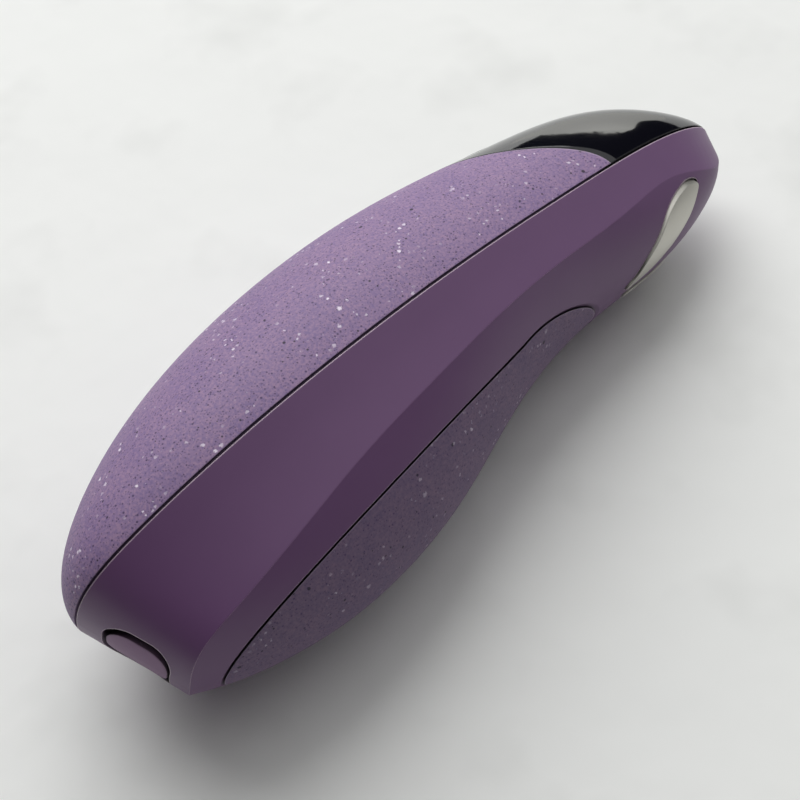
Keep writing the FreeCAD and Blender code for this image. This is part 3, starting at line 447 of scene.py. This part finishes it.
def with_pale_flecks(tree, place, colour, weight):
    """A colour with clusters of pale flecks laid over it."""
    fine = (("Vector", place), ("Scale", SHIFT_SCALE), ("Detail", FLECK_NOISE_DETAIL))
    jitter = add_node(tree, "ShaderNodeTexNoise", fine)
    shift = ((0, jitter.outputs["Color"]), (1, FLECK_SHIFT), (2, place))
    ragged = add_node(tree, "ShaderNodeVectorMath", shift, operation="MULTIPLY_ADD")
    flecks = 0.0
    for count, radius, share in FLECK_SIZES:
        layer = speck_layer(tree, ragged.outputs["Vector"], count, radius, share, FLECK_SOFTNESS)
        flecks = math_node(tree, "MAXIMUM", layer.outputs["Mask"], flecks)
    slow = (("Vector", place), ("Scale", CLUSTER_SCALE), ("Detail", FLECK_NOISE_DETAIL))
    gather = add_node(tree, "ShaderNodeTexNoise", slow)
    cluster = (("From Min", CLUSTER_FROM), ("From Max", CLUSTER_TO), ("To Max", weight))
    gathered = add_node(tree, "ShaderNodeMapRange", (("Value", gather.outputs["Fac"]), *cluster))
    covered = math_node(tree, "MULTIPLY", flecks, gathered.outputs["Result"])
    return mix_colours(tree, covered, colour, CHIP_PALE)


print("sizes of pale fleck:", len(FLECK_SIZES))

# %% [markdown]
# ## Finish: speckled purple
# The body, the chips and the flecks come together in one function that makes both shades. The shells are
# matt, so they are rougher than the band and mirror less; their very rims get a faint painted highlight, and
# their crevices a little painted shade.

# %% Finish: speckled purple
# Painted highlight: the pale colour painted on the shells' rims.
SHELL_RIM_HIGHLIGHT = (0.560, 0.460, 0.600, 1.0)
SHELL_RIM_HIGHLIGHT_SHARE = 0.5
SHELL_MOULD = (("Grain scale", 2600.0), ("Cloud scale", 160.0))
SHELL_EDGES = (("Radius", 0.00018), ("Gain", 4.0))
SHELL_SHADE = (("Reach", 0.0004), ("Depth", 1.0))
SHELL_ROUGH = 0.54
SHELL_ROUGH_SPAN = 0.14
SHELL_GRAIN_DEPTH = 0.000010
SHELL_GRAIN_STRENGTH = 0.7
SHELL_SPECULAR = 0.35
BACK_FLECKS = 1.0
BELLY_FLECKS = 0.50


def speckled_plastic(name, blue, pink, fleck_weight):
    """A matt plastic with a mottled body, dark chips, clusters of pale flecks, painted rim highlights and
    painted crevice shade.
    """
    finish, tree, shader = start_finish(name)
    place = object_place(tree)
    mould = place_group(tree, grain, (("Place", place), *SHELL_MOULD))
    rim_normal_and_highlight = place_group(tree, edges, SHELL_EDGES)
    shade = place_group(tree, crevices, SHELL_SHADE)
    colour = mottled_body(tree, mould, blue, pink)
    colour = with_dark_chips(tree, place, colour)
    colour = with_pale_flecks(tree, place, colour, fleck_weight)
    # Painted highlight on the rims.
    rim_highlight = math_node(tree, "MULTIPLY", rim_normal_and_highlight.outputs["Mask"], SHELL_RIM_HIGHLIGHT_SHARE)
    colour = mix_colours(tree, rim_highlight, colour, SHELL_RIM_HIGHLIGHT)
    # Painted shade in crevices and seams.
    colour = mix_colours(tree, shade.outputs["Open"], PAINTED_SHADE_BLACK, colour)
    uneven = vary(tree, mould.outputs["Grain"], SHELL_ROUGH, SHELL_ROUGH_SPAN)
    raised = bump(
        tree, mould.outputs["Grain"], SHELL_GRAIN_DEPTH, SHELL_GRAIN_STRENGTH, rim_normal_and_highlight.outputs["Normal"]
    )
    connect(tree, shader, colour, uneven, raised)
    shader.inputs["Specular IOR Level"].default_value = SHELL_SPECULAR
    return finish


speckled_purple = speckled_plastic("speckled_purple", SHELL_BLUE, SHELL_PINK, BACK_FLECKS)
speckled_belly = speckled_plastic("speckled_belly", BELLY_BLUE, BELLY_PINK, BELLY_FLECKS)
wear(speckled_purple, "back_shell")
wear(speckled_belly, "front_shell")

# %% [markdown]
# ## Finish: gloss black
# The control panel is polished black plastic, so nearly all that it shows is reflected. A trace of dust and
# faint wiping marks in its roughness keep it from looking like a mirror. The keys are the same plastic, a
# little duller.

# %% Finish: gloss black
PANEL_BLACK = (0.004, 0.004, 0.007, 1.0)
PANEL_ROUGH = 0.05
KEY_BLACK = (0.012, 0.012, 0.014, 1.0)
KEY_ROUGH = 0.20
DUST_GREY = (0.25, 0.24, 0.25, 1.0)
DUST_SHARE = 0.25
WIPED_SPAN = 0.05
GLOSS_MOULD = (("Grain scale", 2500.0), ("Cloud scale", 140.0))
GLOSS_EDGES = (("Radius", 0.0003), ("Gain", 3.0))
GLOSS_COAT = 0.2
GLOSS_COAT_ROUGH = 0.04


def gloss_plastic(name, colour, rough):
    """A polished plastic with faint wiping marks and a trace of dust."""
    finish, tree, shader = start_finish(name)
    place = object_place(tree)
    mould = place_group(tree, grain, (("Place", place), *GLOSS_MOULD))
    dust = speck_layer(tree, place, count=900.0, radius=0.10, share=0.15, softness=0.05)
    rim_normal_and_highlight = place_group(tree, edges, GLOSS_EDGES)
    dusty = math_node(tree, "MULTIPLY", dust.outputs["Mask"], DUST_SHARE)
    dusted = mix_colours(tree, dusty, colour, DUST_GREY)
    wiped = vary(tree, mould.outputs["Clouds"], rough, WIPED_SPAN)
    connect(tree, shader, dusted, wiped, rim_normal_and_highlight.outputs["Normal"])
    shader.inputs["Coat Weight"].default_value = GLOSS_COAT
    shader.inputs["Coat Roughness"].default_value = GLOSS_COAT_ROUGH
    return finish


gloss_black = gloss_plastic("gloss_black", PANEL_BLACK, PANEL_ROUGH)
key_black = gloss_plastic("key_black", KEY_BLACK, KEY_ROUGH)
wear(gloss_black, "control_panel")
wear(key_black, "power_key", "mode_key")

# %% [markdown]
# ## Finish: satin silver
# The two electrodes are plated and lightly blasted, so they shine softly with no clear reflection. A metal
# takes its colour from Base Color with Metallic at 1, and the blasting is a fine grain in roughness and
# height.

# %% Finish: satin silver
SILVER = (0.56, 0.545, 0.50, 1.0)
SILVER_ROUGH = 0.40
SILVER_GRAIN = 12000.0
SILVER_GRAIN_DEPTH = 0.000004
METAL_CLOUDS = 300.0
METAL_EDGES = (("Radius", 0.0002), ("Gain", 3.0))
METAL_DULL_SHARE = 0.9
METAL_ROUGH_SPAN = 0.16
METAL_GRAIN_STRENGTH = 0.5


def satin_metal(name, colour, rough, grain_scale, grain_depth):
    """A satin metal with a fine grain."""
    finish, tree, shader = start_finish(name)
    place = object_place(tree)
    scales = (("Grain scale", grain_scale), ("Cloud scale", METAL_CLOUDS))
    mould = place_group(tree, grain, (("Place", place), *scales))
    rim_normal_and_highlight = place_group(tree, edges, METAL_EDGES)
    dull = tuple(METAL_DULL_SHARE * part for part in colour[:3]) + (1.0,)
    clouded = mix_colours(tree, mould.outputs["Clouds"], dull, colour)
    uneven = vary(tree, mould.outputs["Grain"], rough - METAL_ROUGH_SPAN / 2, METAL_ROUGH_SPAN)
    raised = bump(tree, mould.outputs["Grain"], grain_depth, METAL_GRAIN_STRENGTH, rim_normal_and_highlight.outputs["Normal"])
    connect(tree, shader, clouded, uneven, raised)
    shader.inputs["Metallic"].default_value = 1.0
    return finish


satin_silver = satin_metal("satin_silver", SILVER, SILVER_ROUGH, SILVER_GRAIN, SILVER_GRAIN_DEPTH)
wear(satin_silver, "electrode_left", "electrode_right")

# %% [markdown]
# ## Finishes: the cover and the plastics inside
# The port cover is a softer plastic in the band's colour. Inside are plain moulded and extruded plastics in
# white, black and red, and a foam tape. They hardly show, but the part is also looked at with its shells
# taken off. They are all the satin plastic, with its painted crevice shade and painted rim highlight, so
# each row gives only the dark, light and rim highlight colours, the roughness and the solids that wear it.

# %% Finishes: the cover and the plastics inside
PLASTICS = (
    (
        "cover_rubber",
        ((0.205, 0.094, 0.212, 1.0), (0.230, 0.108, 0.236, 1.0), (0.36, 0.23, 0.36, 1.0)),
        0.52,
        ("port_cover",),
    ),
    (
        "switch_plastic",
        ((0.020, 0.020, 0.022, 1.0), (0.030, 0.030, 0.032, 1.0), (0.10, 0.10, 0.10, 1.0)),
        0.45,
        ("power_plunger", "mode_plunger", "key_switches", "controller_chip", "battery_plug"),
    ),
    (
        "chassis_white",
        ((0.62, 0.62, 0.58, 1.0), (0.70, 0.70, 0.66, 1.0), (0.78, 0.78, 0.75, 1.0)),
        0.50,
        ("chassis",),
    ),
    (
        "lead_red",
        ((0.42, 0.030, 0.028, 1.0), (0.50, 0.045, 0.040, 1.0), (0.58, 0.12, 0.10, 1.0)),
        0.48,
        ("electrode_lead_left", "electrode_lead_right"),
    ),
    (
        "tape_foam",
        ((0.035, 0.035, 0.038, 1.0), (0.055, 0.055, 0.058, 1.0), (0.08, 0.08, 0.08, 1.0)),
        0.85,
        ("battery_tape",),
    ),
    (
        "tongue_black",
        ((0.015, 0.015, 0.016, 1.0), (0.022, 0.022, 0.024, 1.0), (0.06, 0.06, 0.06, 1.0)),
        0.55,
        ("socket_tongue",),
    ),
    (
        "led_white",
        ((0.74, 0.72, 0.62, 1.0), (0.82, 0.80, 0.72, 1.0), (0.90, 0.89, 0.84, 1.0)),
        0.20,
        ("indicator_leds",),
    ),
)
for name, colours, rough, solids in PLASTICS:
    wear(satin_plastic(name, *colours, rough), *solids)

# %% [markdown]
# ## Finishes: the metals inside
# Screws, nuts and the socket are steel, the capacitors have drawn cans, the cell is wrapped in foil, and
# the coil is wound of lacquered copper wire. Each row gives the colour, the roughness, the scale and depth
# of the grain, and the solids: the coil's grain is the deepest, as wire is, and the cans' is shallow.

# %% Finishes: the metals inside
STEEL_SOLIDS = ("key_board_screws", "chassis_screws", "board_screws", "electrode_nuts", "charge_socket")
METALS = (
    ("screw_steel", (0.55, 0.55, 0.56, 1.0), 0.30, 6000.0, 0.000006, STEEL_SOLIDS),
    ("capacitor_can", (0.62, 0.63, 0.65, 1.0), 0.32, 4000.0, 0.000004, ("capacitors",)),
    ("cell_foil", (0.50, 0.52, 0.55, 1.0), 0.38, 1500.0, 0.00002, ("battery_cell",)),
    ("coil_brown", (0.42, 0.19, 0.08, 1.0), 0.34, 3500.0, 0.00003, ("boost_coil",)),
)
for name, colour, rough, grain_scale, grain_depth, solids in METALS:
    wear(satin_metal(name, colour, rough, grain_scale, grain_depth), *solids)

# %% [markdown]
# ## Finish: green boards
# A circuit board is green lacquer over copper. The tracks show through as slightly paler, raised lines, and
# a brick texture with thin mortar gives lines that run square to each other, as tracks do. Tracks modelled
# one by one would be far too many faces for a piece that hardly shows.

# %% Finish: green boards
BOARD_ROUGH = 0.32
TRACK_HEIGHT = 0.00002
TRACK_STRENGTH = 0.6
BOARD_PATTERN = (
    ("Color1", (0.016, 0.110, 0.045, 1.0)),
    ("Color2", (0.020, 0.125, 0.050, 1.0)),
    ("Mortar", (0.040, 0.200, 0.075, 1.0)),
    ("Scale", 420.0),
    ("Mortar Size", 0.035),
)
board_green, board_tree, board_shader = start_finish("board_green")
board_links = (("Vector", object_place(board_tree)), *BOARD_PATTERN)
tracks = add_node(board_tree, "ShaderNodeTexBrick", board_links)
board_tree.links.new(tracks.outputs["Color"], board_shader.inputs["Base Color"])
board_normal = bump(board_tree, tracks.outputs["Fac"], TRACK_HEIGHT, TRACK_STRENGTH)
board_tree.links.new(board_normal, board_shader.inputs["Normal"])
board_shader.inputs["Roughness"].default_value = BOARD_ROUGH
wear(board_green, "key_board", "main_board", "charge_board")

# %% [markdown]
# ## Marks on the keys
# No key shows in the photo, so their marks are plain ones: a broken ring with a bar on the power key, and
# three dots of growing size on the mode key. On such a device they are printed in pale ink. Each mark is
# drawn flat above its key, projected onto the key's top with a Shrinkwrap modifier, and given the thickness
# of an ink layer. A picture could not be used, and a mark cut into the key would be a different product.
# The keys press straight in, so the way out of a key is the other way along its joint.

# %% Marks on the keys
INK_LAYER = 0.00004
INK_GAP = INK_LAYER / 4
MARK_LIFT = 0.012
# The third ink colour is the satin finish's painted rim highlight.
INK_COLOURS = ((0.60, 0.59, 0.60, 1.0), (0.66, 0.65, 0.66, 1.0), (0.70, 0.69, 0.70, 1.0))
INK_ROUGH = 0.50

key_press = next(joint for joint in frame["joints"] if joint["name"] == "power_key_press")
key_out = -Vector(key_press["axis"])
key_along = (Vector((1.0, 0.0, 0.0)) - key_out.x * key_out).normalized()
key_across = key_out.cross(key_along)
mark_ink = satin_plastic("mark_ink", *INK_COLOURS, INK_ROUGH)


def start_mark(name):
    """Names the mark that was just added and starts its edit mode."""
    mark = bpy.context.object
    mark.name = name
    bpy.ops.object.mode_set(mode="EDIT")
    bpy.ops.mesh.select_all(action="SELECT")
    return mark


def lift_over(mark, key):
    """Puts a flat mark above the middle of a key, square to the key's way out."""
    low, high = (Vector(corner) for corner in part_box(key))
    middle = (low + high) / 2
    place = Matrix.Translation(middle + MARK_LIFT * key_out)
    mark.matrix_world = place @ turn_to(key_along, key_across, key_out)


def print_mark(mark, key):
    """Projects a flat mark onto a key, thickens it and makes it ride on the key's body."""
    bpy.ops.object.mode_set(mode="OBJECT")
    lift_over(mark, key)
    wrap = mark.modifiers.new("onto_key", "SHRINKWRAP")
    wrap.target = nodes[key]
    wrap.wrap_method = "PROJECT"
    wrap.use_project_z = True
    wrap.use_positive_direction = False
    wrap.use_negative_direction = True
    wrap.offset = INK_GAP
    layer = mark.modifiers.new("ink_layer", "SOLIDIFY")
    layer.thickness = INK_LAYER
    layer.offset = 1.0
    for modifier in ("onto_key", "ink_layer"):
        bpy.ops.object.modifier_apply(modifier=modifier)
    bpy.ops.object.transform_apply(location=True, rotation=True, scale=True)
    bpy.ops.object.mode_set(mode="EDIT")
    bpy.ops.mesh.select_all(action="SELECT")
    bpy.ops.mesh.normals_make_consistent(inside=False)
    bpy.ops.object.mode_set(mode="OBJECT")
    mark.data.materials.append(mark_ink)
    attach(mark, key)
    print(mark.name, "has", len(mark.data.polygons), "faces")


print("way out of the keys", key_out[:])

# %% [markdown]
# ## Power mark
# The ring is a circle of edges, extruded and drawn in to a flat ring. The faces near its top are deleted to
# break it, and a narrow subdivided plane makes the bar in the gap. Text could give such a sign too, but few
# fonts hold it.

# %% Power mark
RING_RADIUS = 0.0017
RING_STROKE = 0.00034
RING_STEPS = 64
RING_INNER_SHARE = 1.0 - RING_STROKE / RING_RADIUS
GAP_SHARE = 0.8
BAR_LONG = 0.0017
BAR_SHARE = 0.75
BAR_CUTS = 3

bpy.ops.object.select_all(action="DESELECT")
bpy.ops.mesh.primitive_circle_add(vertices=RING_STEPS, radius=RING_RADIUS)
power_mark = start_mark("power_mark")
bpy.ops.mesh.extrude_region()
bpy.ops.transform.resize(value=(RING_INNER_SHARE,) * 3)
bpy.ops.mesh.select_all(action="DESELECT")
bpy.ops.object.mode_set(mode="OBJECT")
for face in power_mark.data.polygons:
    face.select = face.center.x > GAP_SHARE * RING_RADIUS * RING_INNER_SHARE
bpy.ops.object.mode_set(mode="EDIT")
bpy.ops.mesh.delete(type="FACE")
bpy.ops.mesh.primitive_plane_add(size=BAR_LONG, location=(BAR_SHARE * RING_RADIUS, 0.0, 0.0))
bpy.ops.transform.resize(value=(1.0, RING_STROKE / BAR_LONG, 1.0), center_override=(0.0, 0.0, 0.0))
bpy.ops.mesh.subdivide(number_cuts=BAR_CUTS)
bpy.ops.mesh.select_all(action="SELECT")
bpy.ops.mesh.normals_make_consistent(inside=False)
print_mark(power_mark, "power_key")

# %% [markdown]
# ## Mode mark
# The three dots stand in a row and grow along it, as signs for a level do. Each is a filled circle. An
# inset gives each a rim of small faces, so the dots can follow the slight curve of the key.

# %% Mode mark
DOT_SIZES = (0.00024, 0.00034, 0.00046)
DOT_STEP = 0.0013
DOT_CORNERS = 20
DOT_RIM = 0.0001


def add_dot(radius, along):
    """A filled circle at a place along the row."""
    bpy.ops.mesh.primitive_circle_add(
        vertices=DOT_CORNERS, radius=radius, fill_type="NGON", location=(along, 0.0, 0.0)
    )


bpy.ops.object.select_all(action="DESELECT")
add_dot(DOT_SIZES[0], -DOT_STEP)
bpy.ops.object.transform_apply(location=True)
mode_mark = start_mark("mode_mark")
for step, size in enumerate(DOT_SIZES[1:]):
    add_dot(size, step * DOT_STEP)
bpy.ops.mesh.select_all(action="SELECT")
bpy.ops.mesh.inset(thickness=DOT_RIM)
bpy.ops.mesh.select_all(action="SELECT")
bpy.ops.mesh.normals_make_consistent(inside=False)
print_mark(mode_mark, "mode_key")

# %% [markdown]
# ## Floor
# The device lies on a plain pale sheet. The floor is one wide plane at the height of the table, with slow
# clouds of pale grey in its colour and very low waves in its normal. A modelled sheet would show no more
# than this from the camera's height. It is stage, not part of the object.

# %% Floor
FLOOR_SIDE = 12.0
FLOOR_PALE = (0.89, 0.90, 0.88, 1.0)
FLOOR_GREY = (0.80, 0.81, 0.79, 1.0)
FLOOR_SCALES = (("Grain scale", 900.0), ("Cloud scale", 38.0))
GREY_FROM = 0.52
GREY_TO = 0.78
WAVE_HEIGHT = 0.002
WAVE_STRENGTH = 0.25
FLOOR_ROUGH = 0.9
FLOOR_SPECULAR = 0.2

bpy.ops.object.select_all(action="DESELECT")
bpy.ops.mesh.primitive_plane_add(size=FLOOR_SIDE, location=(0.0, 0.0, 0.0))
floor = bpy.context.object
floor.name = "floor"
floor_finish, floor_tree, floor_shader = start_finish("pale_sheet")
floor_mould = place_group(floor_tree, grain, (("Place", object_place(floor_tree)), *FLOOR_SCALES))
floor_clouds = floor_mould.outputs["Clouds"]
grey_range = (("Value", floor_clouds), ("From Min", GREY_FROM), ("From Max", GREY_TO))
greyed = add_node(floor_tree, "ShaderNodeMapRange", grey_range)
floor_colour = mix_colours(floor_tree, greyed.outputs["Result"], FLOOR_PALE, FLOOR_GREY)
floor_tree.links.new(floor_colour, floor_shader.inputs["Base Color"])
floor_waves = bump(floor_tree, floor_clouds, WAVE_HEIGHT, WAVE_STRENGTH)
floor_tree.links.new(floor_waves, floor_shader.inputs["Normal"])
floor_shader.inputs["Roughness"].default_value = FLOOR_ROUGH
floor_shader.inputs["Specular IOR Level"].default_value = FLOOR_SPECULAR
floor.data.materials.append(floor_finish)
print("floor", floor.dimensions[:])

# %% [markdown]
# ## Lamp
# The photo's light is soft and comes from above the back of the device, so the shells' domes are bright and
# a broad shadow lies in front of the belly. A sun would give hard edges. One large round lamp, aimed at the
# middle of the device, gives this light.

# %% Lamp
LAMP_PLACE = Vector((0.293, 0.552, 0.647))
LAMP_ACROSS = 1.00
LAMP_WATTS = 7.1

lamp_data = bpy.data.lights.new("key_lamp", "AREA")
lamp_data.shape = "DISK"
lamp_data.size = LAMP_ACROSS
lamp_data.energy = LAMP_WATTS
key_lamp = bpy.data.objects.new("key_lamp", lamp_data)
bpy.context.scene.collection.objects.link(key_lamp)
key_lamp.location = LAMP_PLACE
key_lamp.rotation_euler = (-LAMP_PLACE).to_track_quat("-Z", "Y").to_euler()
print("key lamp at", LAMP_PLACE[:], LAMP_WATTS, "W")

# %% [markdown]
# ## Room
# The room fills the shade from above and from the head's side, and is dim behind the camera, so the charging
# end falls off into shade. A second lamp would throw a second shadow, so the world does this: its strength
# grows with how far a direction turns towards the fill side.

# %% Room
FILL_LOW = 0.03
FILL_HIGH = 0.92
FILL_SIDE = Vector((0.54, 0.16, 0.826))
FILL_FROM = 0.38

world = bpy.data.worlds.new("pale_room")
world.use_nodes = True
room = world.node_tree
sky = room.nodes["Background"]
sky.inputs["Color"].default_value = (1.0, 1.0, 1.0, 1.0)
direction = room.nodes.new("ShaderNodeTexCoord").outputs["Generated"]
towards = add_node(
    room, "ShaderNodeVectorMath", ((0, direction), (1, FILL_SIDE)), operation="DOT_PRODUCT"
)
fill_range = (("From Min", FILL_FROM), ("To Min", FILL_LOW), ("To Max", FILL_HIGH))
graded = add_node(room, "ShaderNodeMapRange", (("Value", towards.outputs["Value"]), *fill_range))
room.links.new(graded.outputs["Result"], sky.inputs["Strength"])
bpy.context.scene.world = world
bpy.context.scene.view_settings.view_transform = "Standard"
print("room from", FILL_LOW, "to", FILL_HIGH)

# %% [markdown]
# ## Reflector card
# Polished black plastic shows only what it mirrors. In the photo the upper part of the panel mirrors
# something pale with a clear, curved edge, so a pale card slopes up from the floor beyond the head. A square
# card would mirror as a straight edge, so its outline is a smooth closed curve, given across and up its
# slope.

# %% Reflector card
CARD_FOOT = Vector((0.1096, 0.0563, 0.0))
CARD_TURN = math.radians(34.0)
CARD_SLOPE = math.radians(26.0)
CARD_OUTLINE = (
    (-0.022, 0.000),
    (0.028, 0.000),
    (0.028, 0.041),
    (0.019, 0.113),
    (0.003, 0.172),
    (-0.037, 0.274),
    (-0.084, 0.352),
    (-0.087, 0.269),
    (-0.039, 0.083),
)

away = Vector((math.cos(CARD_TURN), math.sin(CARD_TURN), 0.0))
sideways = Vector((-away.y, away.x, 0.0))
upwards = math.cos(CARD_SLOPE) * away + Vector((0.0, 0.0, math.sin(CARD_SLOPE)))
bpy.ops.object.select_all(action="DESELECT")
bpy.ops.curve.primitive_bezier_circle_add()
card = bpy.context.object
card.name = "reflector_card"
rim_line = card.data.splines[0]
rim_line.bezier_points.add(len(CARD_OUTLINE) - len(rim_line.bezier_points))
for corner, (across, up) in zip(rim_line.bezier_points, CARD_OUTLINE):
    corner.co = CARD_FOOT + across * sideways + up * upwards
    corner.handle_left_type = "AUTO"
    corner.handle_right_type = "AUTO"
bpy.ops.object.convert(target="MESH")
bpy.ops.object.mode_set(mode="EDIT")
bpy.ops.mesh.select_all(action="SELECT")
bpy.ops.mesh.edge_face_add()
bpy.ops.object.mode_set(mode="OBJECT")
print("card corners", len(card.data.vertices))

# %% [markdown]
# ## The card's glow
# The card glows more towards its top, where the panel mirrors less. A lamp aimed at it would light the
# device too, so the card itself gives off light, graded by height.

# %% The card's glow
BLACK = (0.0, 0.0, 0.0, 1.0)
CARD_PALE = (1.0, 1.0, 0.94, 1.0)
CARD_GLOW = 2.6
CARD_TALL = 0.09
FOOT_SHARE = 0.33

card_finish, card_tree, card_shader = start_finish("pale_card")
card_shader.inputs["Base Color"].default_value = BLACK
card_point = add_node(card_tree, "ShaderNodeSeparateXYZ", (("Vector", object_place(card_tree)),))
glow_range = (("From Max", CARD_TALL), ("To Min", FOOT_SHARE), ("To Max", 1.0))
card_bright = add_node(card_tree, "ShaderNodeMapRange", (("Value", card_point.outputs["Z"]), *glow_range))
card_colour = mix_colours(card_tree, card_bright.outputs["Result"], BLACK, CARD_PALE)
card_tree.links.new(card_colour, card_shader.inputs["Emission Color"])
card_shader.inputs["Emission Strength"].default_value = CARD_GLOW
card.data.materials.append(card_finish)
print("card glows from", FOOT_SHARE * CARD_GLOW, "to", CARD_GLOW)

# %% [markdown]
# ## Black flag
# A black flag stands behind the card, as in a photographer's studio, so the rest of the panel stays black.
# Only mirrored rays see the card and the flag: they light nothing and no camera shows them. A darker room
# would do the same to the panel, but it would also dim the shells.

# %% Black flag
FLAG_SIZE = (1.30, 0.62)
FLAG_FAR = 0.85
FLAG_BLACK = (0.004, 0.004, 0.006, 1.0)
FLAG_ROUGH = 0.9
QUARTER_TURN = math.radians(90.0)

bpy.ops.object.select_all(action="DESELECT")
bpy.ops.mesh.primitive_plane_add(size=1.0)
flag = bpy.context.object
flag.name = "black_flag"
flag.scale = (FLAG_SIZE[0], FLAG_SIZE[1], 1.0)
flag.location = FLAG_FAR * away + Vector((0.0, 0.0, FLAG_SIZE[1] / 2))
flag.rotation_euler = (QUARTER_TURN, 0.0, CARD_TURN + QUARTER_TURN)
flag_finish, _, flag_shader = start_finish("black_cloth")
flag_shader.inputs["Base Color"].default_value = FLAG_BLACK
flag_shader.inputs["Roughness"].default_value = FLAG_ROUGH
flag_shader.inputs["Specular IOR Level"].default_value = 0.0
flag.data.materials.append(flag_finish)
for screen in (card, flag):
    screen.visible_camera = False
    screen.visible_diffuse = False
    screen.visible_shadow = False
print("flag", FLAG_SIZE, "m, at", FLAG_FAR, "m")
